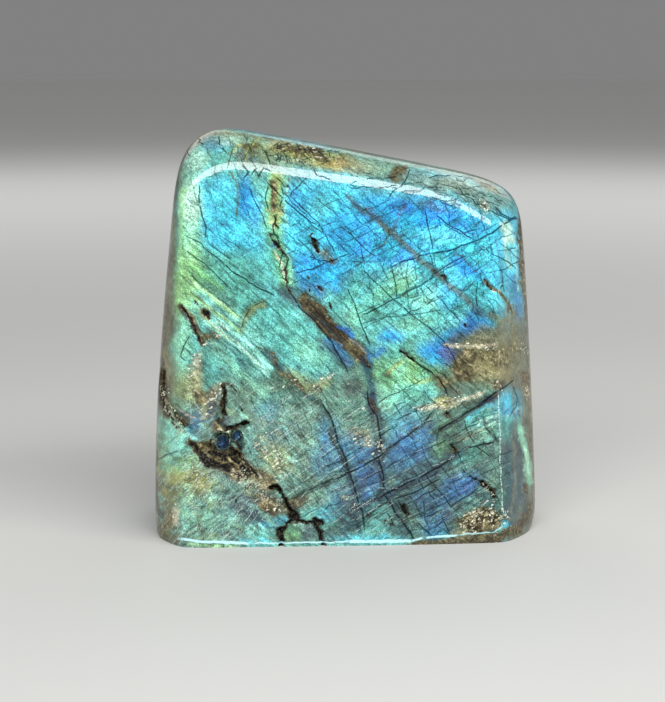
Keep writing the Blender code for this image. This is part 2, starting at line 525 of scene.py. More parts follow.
BROWNS = {"soot": 0.0, "umber": 0.2, "rust": 0.3, "moss": 0.4, "olive": 0.62, "gold": 0.7}


def linear(screen):
    """A colour typed as screen values, in the linear light that shaders use."""
    part = np.array(screen) / 255
    return np.where(part <= 0.04045, part / 12.92, ((part + 0.055) / 1.055) ** 2.4)


INKS = {name: linear(screen) for name, screen in PALETTE.items()}
wash = np.tile(INKS["sage"], (2 * len(points), 1))
stain = np.zeros(2 * len(points))
stain_tone = np.full(2 * len(points), 0.5)


def lay(name, cover, strength=1.0):
    """Lay one colour over the washes so far, and note it down if it is a brown."""
    share = np.resize(np.clip(cover * strength, 0, 1), len(wash))
    wash[:] = wash * (1 - share[:, None]) + INKS[name] * share[:, None]
    stain[:] = stain * (1 - share)
    if name in BROWNS:
        stain[:] += share
        stain_tone[:] = stain_tone * (1 - share) + BROWNS[name] * share


print(len(INKS), "colours")

# %% [markdown]
# Away from the front the layers lie edge on, and most of the stone shows its grey-green
# body. Where a zone does catch the light, its colours follow each other like the lines of
# a map: petrol at the border, then teal, turquoise, sky and blue in the middle. One uneven
# field gives the whole zone, and each colour starts at its own level. The field is drawn
# out along the layers, and a little brown stain crosses it.

# %% The body of the stone
LAYERS_FALL = math.radians(38)
DRAWN_OUT = 2.2
nudge = np.stack([cloud(points, 5, 70), cloud(points, 5, 71), cloud(points, 5, 72)], axis=1)
both_points = np.concatenate([points + 0.5 * nudge, points + 1.3 * nudge])
layered = np.stack([
    (both_points[:, 0] * math.cos(LAYERS_FALL) - both_points[:, 2] * math.sin(LAYERS_FALL)) / DRAWN_OUT,
    both_points[:, 1],
    both_points[:, 0] * math.sin(LAYERS_FALL) + both_points[:, 2] * math.cos(LAYERS_FALL)], axis=1)
ZONES = [("slate", -0.25), ("petrol", -0.08), ("teal", 0.06), ("turquoise", 0.2), ("sky", 0.34),
         ("azure", 0.5), ("cobalt", 0.68)]


def unevenly(size, seed):
    """An uneven field over the layered stone, with a middle and a fine field in it."""
    return (cloud(layered, size, seed) + 0.45 * cloud(layered, size * 0.42, seed + 1)
            + 0.2 * cloud(layered, size * 0.17, seed + 2))


def patches(size, seed, fill):
    """Soft-edged patches that cover about the given share of the stone."""
    return smooth((unevenly(size, seed) + fill * 1.6 - 0.8) / 0.35)


everywhere = np.ones(len(points))
lay("smoke", everywhere)
lay("ash", patches(20, 25, 0.5), 0.7)
lay("sage", patches(14, 55, 0.4), 0.5)
shine = unevenly(27, 20)
for name, level in ZONES:
    lay(name, smooth((shine - level) / 0.12), 0.85)
lay("leaf", patches(15, 45, 0.24), 0.6)
lay("straw", patches(9, 48, 0.16), 0.5)
lay("olive", patches(10, 50, 0.25), 0.6)
lay("umber", patches(7, 58, 0.13), 0.7)
print("body colour, mean:", wash.mean(axis=0).round(3))

# %% [markdown]
# The flash lies in the front and in the crest above it. How much each ground plane shapes
# a point says where those are, so the colour turns with the arrises and needs no outline
# of its own. The side facets get duller greys, and a moss wash that grows as they turn
# away from the eye: that wash is painted shade, darker towards the edges of the view.

# %% Where the flash lies
terms = nearness_to_planes(points)
shares = dict(zip(GROUND_PLANES, (terms / terms.sum(axis=1)[:, None]).T))
front = smooth(shares["front"] * 1.6 - 0.1)
crest = sum(share for name, share in shares.items() if name.startswith("front crest"))
crest = smooth(crest * 1.6 - 0.1)
in_view = smooth(towards_eye * 4 - 0.4)

band = in_view * (1 - front) * (1 - crest)
lay("ash", band, 0.8)
lay("smoke", band, 0.5)
# Painted shade: moss darkens the side bands more, the further they turn away from the eye.
lay("moss", band * smooth((0.5 - towards_eye) / 0.35), 0.75)
lay("haze", front)
lay("sage", crest, 0.9)


def lay_blots(text):
    """Lay soft ovals: colour, tilt, strength, middle, radii."""
    for name, tilt, strength, (centre, radii) in table(text):
        lay(name, blot(centre, radii, tilt), strength)


def lay_strokes(text, edge=0.5, across=wavy_right, along=wavy_down):
    """Lay strokes: colour, width, strength, route."""
    for name, width, strength, line in table(text):
        lay(name, stroke(line, width, edge, across, along), strength)


print("the front covers", round(float(front.mean()) * 100), "% of the points")

# %% [markdown]
# The upper half is the brightest: sky blue at the left, a band of sea green and lime that
# runs down to the right, then azure with a green net across it, and cobalt along the brown
# veins. Broad washes come first, and each later row sits on the ones before it.

# %% The flash, upper half
lay_blots("""
turquoise 0 0.9 235,240 60,70
sky 0 1 330,230 60,60
sky 0 1 450,250 80,70
turquoise 0 0.9 400,310 70,36
turquoise 30 0.8 280,325 50,30
sky 0 0.95 222,212 28,36
ice 0 0.55 208,206 12,26
ice 0 0.3 228,190 10,16
sky 36 0.8 240,244 32,17
mint 3 0.9 190,222 11,40
pearl 0 0.7 190,204 9,20
lime 6 0.85 188,280 13,36
lime 35 0.55 202,262 14,12
foam 38 0.3 232,328 42,18
sea 38 0.8 224,270 26,14
leaf 38 0.7 208,282 24,8
sea 38 0.75 250,270 26,16
turquoise -8 0.8 271,262 9,26
teal 30 0.5 272,292 26,7
slate 35 0.5 292,298 16,6
sea 36 0.7 245,312 34,14
haze 38 0.5 222,300 18,8
turquoise 20 0.6 286,322 20,16
mint 20 0.35 290,334 16,10
azure 0 0.8 246,198 7,20
cobalt 0 0.6 243,196 4,13
azure 0 0.5 256,214 6,14
mint 0 0.5 266,210 5,22
azure 20 0.45 305,198 16,12
turquoise 20 0.5 320,206 13,12
azure 40 0.75 352,236 26,24
azure 10 0.85 318,270 28,15
azure 0 0.6 340,282 10,12
cobalt 30 0.6 316,289 9,5
cobalt 0 0.5 304,284 4,8
turquoise 0 0.7 334,306 10,8
azure 20 0.85 384,212 26,13
azure 0 0.9 394,250 18,13
azure 12 0.95 420,214 34,15
cobalt 20 0.3 408,208 16,6
azure 10 0.7 462,222 26,12
ice 0 0.8 440,238 20,11
azure 20 0.5 446,252 12,6
ice 20 0.7 438,262 14,9
azure 38 0.85 468,268 18,7
cobalt 38 0.35 474,272 10,4
ice 10 0.5 488,256 12,16
sea -25 0.75 392,298 34,18
mint 0 0.6 404,277 15,14
mint -20 0.6 428,298 14,10
leaf -28 0.35 386,292 18,8
turquoise -10 0.6 352,296 9,22
mint 0 0.45 352,316 9,12
sky 20 0.7 450,292 14,16
ice 0 0.5 452,280 9,7
ice 20 0.55 492,298 12,15
smoke 18 0.45 430,206 17,4
turquoise 36 0.3 227,262 16,9
ice 0 0.35 420,288 10,8
ice 0 0.22 396,250 12,9
ice 0 0.35 515,300 6,18
cobalt 10 0.75 476,320 11,12
azure 0 0.5 484,324 9,9
azure 10 0.85 391,336 11,8
mint -12 0.4 412,324 22,7
azure -25 0.75 448,340 18,8
""")

# %% [markdown]
# The lower half is quieter. Mint and dusty green at the left turn to teal in the middle,
# and blue blocks lie between dark cracks at the right, under a patch of brown feldspar
# that does not flash at all.

# %% The flash, lower half
# Painted highlight: the two thin ice ovals at 256,541 and 372,539 lie along the bottom edge, where the
# front turns under into the foot.
lay_blots("""
turquoise 8 0.6 190,350 16,40
mint 8 0.75 181,345 9,26
turquoise 0 0.65 212,378 9,24
turquoise 36 0.55 240,366 26,16
turquoise 20 0.85 304,350 36,22
mint 20 0.5 310,352 18,13
sage 0 0.5 250,400 30,26
pine 36 0.5 286,388 24,11
turquoise 0 0.35 270,404 16,14
steel -20 0.3 268,412 15,10
steel 0 0.3 284,432 14,12
sage 0 0.4 300,440 22,26
sage 0 0.4 318,410 12,12
steel -14 0.75 332,442 10,26
steel 0 0.5 322,462 12,16
mint 0 0.6 173,438 15,34
turquoise 0 0.5 186,440 8,12
steel 0 0.65 200,420 15,8
steel 0 0.5 192,432 9,8
slate 30 0.6 186,420 8,7
sage 0 0.6 208,432 9,8
straw 10 0.55 186,476 28,18
lime 0 0.5 178,466 18,9
straw 15 0.55 198,484 15,8
mint 0 0.3 212,512 36,26
mint 0 0.3 186,508 14,16
haze -30 0.45 206,492 26,10
slate -30 0.3 226,486 16,7
straw 0 0.3 170,492 10,10
steel 0 0.25 228,506 12,14
slate 20 0.95 248,504 15,12
ink 20 0.5 253,511 7,5
foam 0 0.4 174,440 9,24
straw 10 0.4 188,480 19,9
straw 36 0.35 299,382 19,8
olive 36 0.3 286,374 8,4
sky -14 0.35 345,450 9,14
sky 0 0.25 322,432 10,12
ash 10 0.5 194,485 16,9
slate 8 0.5 236,534 20,6
ink 42 0.85 252,520 10,5
petrol 30 0.6 246,516 8,5
sky -8 0.7 272,522 16,5
turquoise 0 0.6 258,534 14,6
ice 0 0.6 256,541 20,3
leaf 20 0.6 293,533 9,8
slate 0 0.8 310,531 9,8
turquoise -10 0.6 312,514 13,6
sky -30 0.5 330,512 16,10
steel 0 0.5 338,496 12,12
petrol 0 0.7 336,532 16,9
sea 0 0.5 328,524 10,5
smoke 0 0.5 346,502 7,6
pine -28 0.75 300,498 16,5
leaf -10 0.9 404,374 34,24
mint 0 0.55 392,396 16,18
lime -25 0.6 402,366 16,9
lime 10 0.5 420,380 18,7
turquoise 10 0.7 392,350 20,9
azure 15 0.85 434,354 17,11
cobalt 20 0.3 440,350 8,6
sea 38 0.6 434,388 22,9
turquoise -10 0.6 412,396 24,12
sky -30 0.45 400,424 24,14
haze 0 0.7 366,396 14,34
smoke 30 0.5 352,388 9,9
sage 0 0.7 378,430 10,18
beige 10 0.55 360,438 15,8
steel 0 0.7 350,452 12,16
petrol 0 0.35 430,486 84,46
steel 0 1 366,476 15,28
cobalt 0 0.45 368,478 9,20
ink 0 0.6 360,486 8,10
steel -30 1 408,450 28,19
azure -30 0.2 416,444 15,8
pine -20 0.9 448,438 20,22
leaf -28 0.5 444,426 14,5
leaf 0 0.35 440,448 8,8
turquoise -25 0.75 478,418 16,8
mint -28 0.6 488,430 14,6
pine 0 0.5 468,430 8,8
sea -25 0.8 470,454 20,8
pine -25 0.5 488,458 14,10
haze 0 0.7 496,474 9,14
petrol -28 0.9 420,476 26,9
ink -28 0.6 412,474 14,6
ink -28 0.4 444,470 14,6
steel -28 1 458,488 22,10
cobalt -28 0.4 466,488 11,6
petrol 0 0.7 444,500 10,8
steel 0 0.6 424,498 12,10
petrol 0 0.8 396,500 15,12
turquoise -10 0.5 380,514 14,10
turquoise 0 0.7 372,528 18,8
petrol 0 0.8 352,522 10,14
ice 0 0.85 372,539 34,3.5
petrol 0 0.6 404,528 14,10
ink 0 0.5 344,508 10,10
pine 0 0.4 400,512 12,14
steel 0 0.75 436,514 15,12
slate 0 0.6 452,508 9,8
steel 0 0.8 436,532 14,8
sky 0 0.4 440,534 8,5
petrol 20 0.6 488,500 12,8
ink -10 0.4 378,466 10,15
ink -28 0.35 448,486 20,9
ink 0 0.35 352,520 13,10
ink 0 0.25 428,508 12,9
slate 2 0.55 514,470 10,38
turquoise 0 0.35 395,371 13,10
ink -20 0.15 425,490 85,42
steel -10 0.45 362,462 17,20
steel -28 0.5 412,440 26,15
cobalt -28 0.3 418,436 14,8
steel -28 0.45 456,486 23,10
ink -10 0.4 373,470 8,14
foam 0 0.3 174,442 10,22
sky 0 0.8 508,406 12,16
steel 0 0.5 511,414 7,6
turquoise 0 0.8 508,428 12,12
petrol 2 0.75 512,476 11,36
pine 0 0.5 500,488 8,18
sky -20 0.8 505,525 6,5
""")

# %% [markdown]
# No wash is flat. In the lower half, dull green and pale mint come and go every few
# millimetres, along the layers again.

# %% The mottled lower half
sloping = np.stack([(spots @ (0.77, 0.64)) / 2.0, spots @ (-0.64, 0.77)], axis=1)
lower = np.maximum(blot((225, 480), (90, 90), 0, 0.4)[:len(points)],
                   0.3 * blot((400, 480), (130, 75), 0, 0.4)[:len(points)])
MOTTLE = [("pine", 81, 0.5), ("foam", 84, 0.5), ("petrol", 87, 0.3), ("straw", 90, 0.22)]
for name, seed, strength in MOTTLE:
    field = cloud(sloping, 6.5, seed) + 0.6 * cloud(sloping, 2.8, seed + 1)
    lay(name, lower * smooth((field - 0.25) / 0.45), strength)
print("mottled", round(float(lower.mean()), 2))

# %% [markdown]
# The crest above the front is duller: grey-green with a blue end at the left, brown and
# gold stains in the middle and teal at the right. The side facets show as narrow bands of
# olive grey, with a lime rim where they meet the front, and iron has stained both sides of
# the stone in uneven patches of moss and umber.

# %% The crest and the side bands
lay_blots("""
turquoise -10 0.7 214,160 26,16
steel -10 0.5 216,144 14,8
pearl 30 0.5 197,162 9,12
sage 8 0.8 262,142 32,9
smoke 8 0.8 244,154 12,9
moss 0 0.7 257,145 5,4
moss 0 0.7 245,146 5,4
smoke 8 0.5 262,160 24,7
beige 8 0.7 288,150 20,8
umber 8 0.4 284,150 9,4
olive 8 0.7 300,150 22,7
umber 10 0.7 313,150 12,5
straw 10 0.75 334,160 18,9
gold 10 0.6 330,162 20,6
olive 10 0.5 346,158 12,6
sage 10 0.85 374,168 26,11
moss 15 0.95 398,175 8,9
umber 15 0.8 404,172 4,9
steel 10 0.45 426,180 20,8
turquoise 12 0.4 426,182 24,8
beige 16 0.5 462,186 22,7
slate 15 0.4 450,182 12,5
haze 40 0.8 496,196 20,12
haze 35 0.7 474,200 26,8
olive 30 0.6 488,186 16,4
slate 30 0.4 505,200 8,10
rust 20 0.4 484,204 6,5
ash 14 0.8 470,176 34,3.5
teal 0 0.5 254,156 10,5
gold 10 0.6 336,163 12,6
straw 9 0.5 300,158 46,9
beige 10 0.45 352,166 22,8
smoke 12 0.5 428,183 30,9
ash 20 0.35 452,190 34,9
pearl 0 0.35 228,140 16,6
pearl 25 0.08 470,192 42,11
pearl 12 0.15 420,180 30,8
moss 0 0.45 251,150 6,6
moss 10 0.6 320,156 8,4
umber 0 0.5 296,149 5,3
teal 8 0.4 281,158 12,4
umber 8 0.4 312,150 8,4
""")
lay_strokes("""
ash 9 0.8 178,166 186,149 200,136 222,131 250,133 283,139
straw 2 0.8 228,168 231,152 236,146 246,144
straw 2 0.8 245,160 250,148 258,138
cream 2 0.8 282,151 290,142 300,144 312,148
cream 1.8 0.7 284,160 292,163 300,158 308,164
umber 2.5 0.8 277,147 286,150 282,154
umber 2 0.8 290,147 300,153 306,161 314,168
smoke 7 0.6 173,190 176,172 184,154
lime 5 0.55 184,190 182,220 180,250 179,285 178,305
pearl 11 0.85 505,226 509,244 511,262
ice 11 0.8 510,248 513,275
steel 10 0.7 514,276 516,300 517,318
pearl 2 0.6 515,232 517,262 518,290
pearl 3 0.5 500,224 506,246 510,268
slate 3 0.5 495,238 499,252 501,266 503,282
smoke 8 0.8 520,208 523,240 526,280 529,330
umber 6 0.8 519,226 522,250 525,290 528,330
ash 6 0.6 519,320 522,350 525,380 527,410
slate 4 0.6 503,400 504,440 506,490
petrol 3 0.7 508,436 508,480 506,510
slate 8 0.7 514,424 516,460 515,500 512,522
ash 3 0.7 512,380 515,430 515,480 512,520
umber 8 0.7 506,531 516,528 526,520 531,506
umber 4 0.8 525,484 527,490
slate 6 0.5 523,494 525,508
umber 2 0.6 519,400 520,440 520,500
olive 6 0.5 512,306 514,330 515,350
ash 12 0.8 172,220 168,270 165,320 163,370
ash 7 0.7 162,534 176,541
moss 8 0.95 416,545 460,542 500,537 520,530
umber 4 0.8 430,547 470,545 505,539
lime 4 0.7 186,544 210,546 236,547
turquoise 4 0.7 246,547 300,546 350,546 405,545
""")
SIDE_STAINS = [("moss", 11, 61, 0.54, 0.8), ("olive", 6, 64, 0.3, 0.6), ("umber", 5, 67, 0.32, 0.8)]
on_side = np.resize(smooth((np.abs(outward[:, 0]) - 0.82) / 0.14), len(wash))
for name, size, seed, fill, strength in SIDE_STAINS:
    lay(name, on_side * patches(size, seed, fill), strength)
lay_strokes("""
umber 8 0.8 160,360 160,400 168,414
slate 5 0.5 517,430 520,460 522,500
mint 6 0.65 521,428 524,444 528,462 530,482
pearl 2 0.7 524,446 527,460 529,474
""")
print("flash laid")

# %% [markdown]
# Veins and stains cross the flash. Iron has turned the broken seams brown and olive, some
# blades of feldspar stand out in another blue. A few dark strokes along one side of cracks
# are painted shadow. Each is one stroke: a colour, a width, a strength, a route. The rows
# from 1000 on lie on the label, and those from 2000 on the lid.

# %% Veins, blades and stripes
# Painted shadow: the ink strokes that run just left of the steep cracks in the lower right, from 330,430,
# 364,392 and 378,440, darken one side of each crack.
lay_strokes("""
olive 2.5 0.6 231,172 236,181 238,190 238,203 237,215
leaf 17 0.8 276,180 275,194 274,208 275,226 278,245 284,262 287,280
straw 13 0.6 276,178 275,192 275,206 275,220
olive 7 0.85 273,183 274,196 273,209
umber 2.5 0.7 270,182 271,196 274,212
gold 4 0.6 280,207 282,214
mint 3 0.7 285,182 288,196 284,210 287,226
cream 3 0.8 271,221 274,230
cream 3 0.8 277,250 280,258 283,268 286,282
mint 3.5 0.5 289,250 291,270 292,284
olive 3 0.5 284,172 288,180 282,184
slate 14 0.55 286,292 298,300 312,314
moss 12 0.9 305,298 310,304
umber 18 1 312,307 322,318 333,330 343,338
soot 9 0.6 318,314 332,329 341,337
moss 16 0.9 346,341 353,347 360,354
soot 4 0.6 352,350 360,358
slate 5 0.7 344,330 354,341 366,350
cream 1.8 0.5 349,338 357,343 363,350
sky 2.5 0.4 300,305 322,322 338,340
cobalt 11 0.6 328,342 338,350 348,362
slate 8 0.5 320,340 334,352 346,366
ink 8 0.4 326,346 336,354 344,362
cobalt 7 0.8 338,326 346,328 352,335
cobalt 6 0.6 366,352 376,352 386,347
steel 10 0.5 370,346 382,350
ink 11 0.9 364,360 368,367
petrol 9 0.8 368,370 371,384 373,398
ink 8 0.9 371,396 372,405 375,412
soot 4 0.7 371,400 374,408 378,414
cobalt 5 0.5 368,352 372,362
slate 8 0.75 346,196 358,206 372,216 390,230
slate 9 0.65 390,230 402,242 414,254 424,262 436,272
slate 9 0.6 436,272 446,284 458,292 472,304 484,314
petrol 4 0.3 346,196 358,206 372,216 390,230 414,254 436,272 458,292
ash 4 0.45 380,222 402,242 424,262 446,284 470,302
umber 2 0.5 408,190 400,212 392,228 385,242 374,252 362,262 352,272
slate 5 0.5 402,206 398,218 392,228
slate 4 0.5 352,272 340,286
umber 2.5 0.5 457,252 465,257 470,262 475,269 479,275
olive 5 0.7 486,282 493,289 500,292 506,302 510,314
umber 3 0.6 485,281 489,286 497,291
olive 6 0.5 490,316 500,322 508,318
ash 10 0.6 500,330 508,322 514,316
pine 11 0.85 264,304 254,307 247,314 242,323 239,332
straw 7 0.3 262,304 254,308 247,315 242,324 238,334
olive 7 0.6 198,300 206,318 214,330
gold 7 0.75 219,325 226,330
olive 8 0.7 204,338 214,336 222,332
slate 4 0.35 211,305 222,312 233,320
mint 8 0.35 216,350 240,374 262,392
olive 4 0.4 198,508 200,524 202,541
slate 3 0.3 167,456 176,451 190,448
olive 4 0.5 386,374 394,366 404,360
straw 3 0.55 388,371 400,364
straw 5 0.5 414,380 424,382 434,378
pine 5 0.6 404,352 420,365 434,376 444,384
petrol 6 0.75 262,352 276,364 292,382 308,398 320,404
pine 7 0.8 318,402 328,416 335,438 344,458 350,474
pine 5 0.6 300,494 320,486 340,476
petrol 8 0.7 352,474 358,494 366,514
ink 5 0.7 330,430 338,446 344,464 350,484 356,506 361,532
ink 5 0.6 364,392 367,406 373,420 376,440 374,458
petrol 7 0.85 346,471 364,463 382,455 396,445
ink 3 0.7 322,487 349,474 379,457 396,444 416,430
petrol 7 0.85 380,414 382,440 380,456 384,476 385,496
ink 4 0.7 378,440 377,457 381,476 382,494
petrol 9 0.85 352,511 383,496 416,480 440,467 464,451
ink 5 0.75 356,509 383,496 416,480 440,467
ink 4 0.6 386,496 398,514 410,534
pine 5 0.6 434,414 424,424 410,434
pine 8 0.85 438,431 459,419 479,405 497,393
ink 3 0.6 440,430 459,419 479,405 497,393
pine 5 0.6 464,450 480,446 498,442
pine 3 0.6 484,420 492,430 500,442
petrol 5 0.6 430,470 434,490 430,520
sky 3 0.7 470,416 482,409 493,403
pearl 2.2 0.75 476,424 486,419 497,413
pearl 2.2 0.7 480,432 490,426 498,421
foam 2.5 0.7 484,441 492,437 498,434
ink 2 0.8 473,420 484,414 495,408
ink 2 0.8 478,428 488,422 498,417
ink 2 0.7 470,436 482,436 492,430 499,426
ink 1.8 0.8 504,413 512,405 518,399
pearl 1.8 0.6 505,419 514,413 520,407
ink 2.5 0.7 482,416 487,428 494,440
beige 3 0.5 458,440 470,436 482,430
slate 22 0.7 1330,120 1370,180 1410,240 1440,300 1480,370
olive 9 0.8 1345,140 1358,160 1375,186
olive 5 0.7 1375,186 1392,208 1412,240
olive 10 0.75 1410,238 1420,252 1430,270
olive 5 0.7 1428,268 1442,300 1470,350
umber 4.5 0.9 1355,158 1364,170 1378,190
umber 2.5 0.8 1378,190 1400,222 1414,242
umber 5 0.8 1416,246 1424,260 1430,272
straw 3 0.7 1362,150 1390,192 1424,244
slate 12 0.7 1580,60 1600,110 1632,170 1652,240
umber 4 0.8 1590,86 1604,116 1634,172 1650,226
petrol 14 0.7 1210,300 1260,270 1320,262
olive 7 0.8 1220,296 1262,272 1300,264
umber 4 0.8 2120,240 2160,210 2220,190
olive 10 0.7 2110,246 2160,212 2230,186
""")

# %% [markdown]
# The narrow stripes at the left are single layers seen end on, so their borders are clean.
# They are drawn in the calm coordinates that the cracks use, and not in the wavy ones.

# %% Clean stripes
CLEAN_EDGE = 0.35
calm_right, calm_down = np.tile(line_right, 2), np.tile(line_down, 2)
lay("foam", blot((226, 322), (40, 15), 38, 0.5), 0.35)
lay_strokes("""
pine 8 0.35 186,268 206,284 232,304
lime 4.5 0.95 183,272 196,284 213,297 236,316
leaf 3 0.8 186,262 204,276 224,290
pine 2.5 0.7 192,276 210,292 228,306
lime 4 0.9 184,291 203,304 222,317 240,332
pearl 2.4 0.45 190,280 203,290 220,302 238,317
olive 2 0.6 190,292 208,306 226,320
lime 3 0.7 184,299 196,308 208,318
petrol 3 0.6 204,326 228,348 246,366
foam 10 0.45 196,306 222,326 246,346 268,368
foam 5.5 0.95 206,320 233,341 250,357 268,375
pearl 3.2 0.5 212,324 233,341 250,356 266,372
foam 4.5 0.95 226,323 244,340 257,353 271,368
straw 2.5 0.6 200,314 216,328 230,339
petrol 2.2 0.8 218,324 240,343 262,365
petrol 2 0.7 236,326 252,342 268,359
teal 1.8 0.6 214,330 232,345 250,361
pearl 1.6 0.6 232,338 246,350 262,366
""", CLEAN_EDGE, calm_right, calm_down)
print("stripes laid")

# %% [markdown]
# Where the feldspar is stained through, the flash is gone. The largest patch, at the right,
# is olive brown with a darker left end, and two pale fuzzy bands cross it. The vug and its
# branches have a rusty, crumbly rim, and crumbs of broken feldspar lie inside.

# %% Stains and rims
lay_blots("""
smoke -18 0.7 470,340 26,10
olive 0 0.9 484,358 29,25
ash -10 0.7 490,340 22,12
moss 30 0.65 446,384 15,9
smoke -20 0.5 452,392 14,7
moss -10 0.95 463,368 11,13
beige -30 0.4 480,366 12,10
beige 10 0.6 496,374 14,8
violet 35 0.8 448,353 10,9
cobalt -20 0.6 466,328 12,7
slate -30 0.7 456,338 11,5
umber 20 0.55 499,385 7,5
umber -15 0.3 464,392 14,4
umber 15 0.8 222,462 20,10
gold -30 0.45 211,446 7,5
umber 0 0.7 204,450 9,8
olive 20 0.7 203,447 7,5
umber 0 0.7 218,428 6,8
rust 0 0.5 217,424 4,5
petrol 0 0.8 239,446 4,5
slate 0 0.7 226,423 6,6
umber 40 0.7 232,456 12,7
gold 0 0.5 229,458 7,4
rust 0 0.9 236,473 8,8
gold 0 0.75 237,474 6,6
umber 20 0.75 250,472 10,8
moss 30 0.6 260,474 14,6
smoke 15 0.9 213,400 8,15
umber 15 0.5 210,398 6,9
slate 15 0.8 210,409 7,8
beige 25 0.4 214,392 4,8
umber 45 0.65 182,418 10,6
slate 45 0.5 178,414 6,5
umber -8 0.5 166,392 6,20
beige 0 0.5 170,372 6,16
cream 8 0.6 197,364 4,11
straw 0 0.6 188,386 12,16
beige 0 0.5 196,380 7,14
olive 0 0.75 199,398 7,9
gold 0 0.5 203,402 3,4
straw 0 0.4 276,460 13,16
olive 0 0.45 278,464 7,9
olive 30 0.7 262,478 16,8
gold 20 0.5 266,484 8,6
beige 20 0.45 252,484 12,8
umber 30 0.85 268,504 13,10
gold 20 0.75 268,502 8,6
moss -28 0.7 294,504 14,6
olive 0 0.5 316,388 9,6
straw -20 0.4 326,382 8,5
umber -5 0.95 480,522 21,12
gold -5 0.75 480,519 16,8
beige -10 0.7 462,534 10,5
gold 0 0.55 446,404 11,6
straw 0 0.5 442,402 9,5
umber 0 0.6 448,415 5,4
cream -5 0.5 427,407 9,3.5
pine -25 0.6 460,410 12,6
ink -32 0.9 489,399 12,4
rust 0 0.6 526,376 4,7
gold 0 0.5 527,392 4,6
cream 0 0.8 175,516 3,8
gold 0 0.5 170,520 5,10
olive 0 0.6 163,530 7,8
umber 0 0.5 455,450 4,4
olive 40 0.5 326,255 9,6
umber 0 0.5 334,262 4,3
pine 60 0.4 314,250 9,6
cobalt 0 0.6 276,244 4,4
olive 20 0.5 206,314 8,6
slate 25 0.45 242,507 17,9
ink 20 0.6 254,517 8,6
straw 15 0.35 190,478 20,9
lime 0 0.35 178,470 12,6
straw 10 0.3 196,490 12,5
""")
lay_strokes("""
cream 4 0.6 446,344 456,346 468,347 480,348 497,345
cream 4 0.65 455,402 466,399 475,396 484,392
umber 4 0.5 458,407 470,403 484,398
umber 6 0.85 180,306 186,313 190,320 196,333 202,344
slate 4 0.7 184,314 190,322 196,332
olive 4 0.6 186,310 194,320 200,334
umber 5 0.6 224,384 224,400 223,420
umber 6 0.8 190,443 196,450 203,457 212,463
gold 2.5 0.7 236,450 242,457 248,466 256,476
gold 2.5 0.6 216,424 220,429 227,431
cream 2 0.6 202,418 208,417 215,414
cream 2 0.7 174,407 182,412 190,416 196,417
cream 1.8 0.6 191,402 196,408 202,415
cream 2.5 0.6 162,397 166,407 171,414 176,423 181,431
beige 2.5 0.6 163,350 165,358 169,368
straw 2.5 0.6 203,404 204,412 203,419
umber 2.5 0.6 257,347 268,352 274,356 279,371 297,382 308,398
rust 5 0.4 270,352 274,362
olive 4 0.5 280,374 292,381 304,390
umber 2.5 0.5 376,420 380,440 382,452
cream 2.5 0.6 378,444 382,448
slate 4 0.5 349,384 356,392
""")

HOLES = table("""
1.8 276,216 275,221 277,227
2.2 270,234 273,240 279,246 283,252 287,259
2 285,266 286,274 287,285 291,294
4 190,443 195,446 198,452 203,458 210,462 218,464
5 204,456 210,452 216,455 222,457 230,456 236,452
2.5 211,440 212,448 217,454
2.5 231,440 232,448 229,454
4.5 222,386 224,395 223,405 225,413
2 226,384 232,386 236,392
2.5 220,418 217,426
5.5 226,430 234,428 240,425 247,423
3 232,434 236,442 241,449
3.5 236,452 242,458 247,465 252,471 258,475
3 222,464 230,466 236,466
5 244,474 246,479
2.2 162,392 164,402 168,412 174,424 180,430
2.5 173,410 177,418 183,425
3 364,360 368,367
2.5 371,400 375,411
2.2 488,402 497,394
1.8 261,520 262,522
1.8 257,526 258,528
7 212,453 222,457 232,461 241,467 250,473
6 200,454 206,459 212,461 221,463
6 221,464 229,467 234,471
2 288,508 296,500
5 202,460 210,465 220,468 231,471
""")
soot = np.zeros(len(points))
for width, line in HOLES + [(width, line) for width, _, line in FORK + SMALL_PITS]:
    soot = np.maximum(soot, stroke(line, width, 0.9, pit_right, pit_down))
lay("umber", smooth(soot * 1.6), 0.7)
ROUND_BLUE = [((222.5, 443.5), 7.5), ((237, 437), 5.0)]
for centre, radius in ROUND_BLUE:
    hollow = blot(centre, (radius, radius), 0, 0.25, line_right, line_down)
    rim = blot(centre, (radius * 1.35, radius * 1.35), 0, 0.2, line_right, line_down)
    soot = np.maximum(soot, 0.8 * rim)
    soot *= 1 - hollow
    lay("ink", hollow)
    lay("steel", blot(centre, (radius * 0.25, radius * 0.7), 8, 0.4, line_right, line_down), 0.4)
CRUMBS = table("""
gold 3.4 0.8 200,446 206,449 212,450
olive 3 0.9 204,452 210,456
gold 2.4 0.9 213,459 220,462 226,464
rust 7 0.9 233,470 238,475
gold 2.6 1 228,459 234,464 239,468
gold 2 1 240,459 246,467 252,474
cream 1.8 0.8 231,469 235,473 239,472
cream 1.6 0.8 217,429 224,432 230,432
""")
for name, width, strength, line in CRUMBS:
    crumb = stroke(line, width, 0.4, pit_right, pit_down)
    soot *= 1 - crumb
    lay(name, crumb, strength)
print("veins and stains laid")

# %% [markdown]
# Hairline cracks are thinner than the mesh, so they can't be colours on its points. What is
# stored instead is a signed distance: how far each point lies to one side of the nearest
# crack or to the other. Between two points it passes evenly through zero, and the shader
# draws the line there, as thin and as sharp as it likes. Cracks that run the same way share
# one attribute, because the sign has to change across every one of them alike. Away from
# the front they come and go, as a stone is never cracked evenly all round. Each row gives
# half a width, a strength and a route.

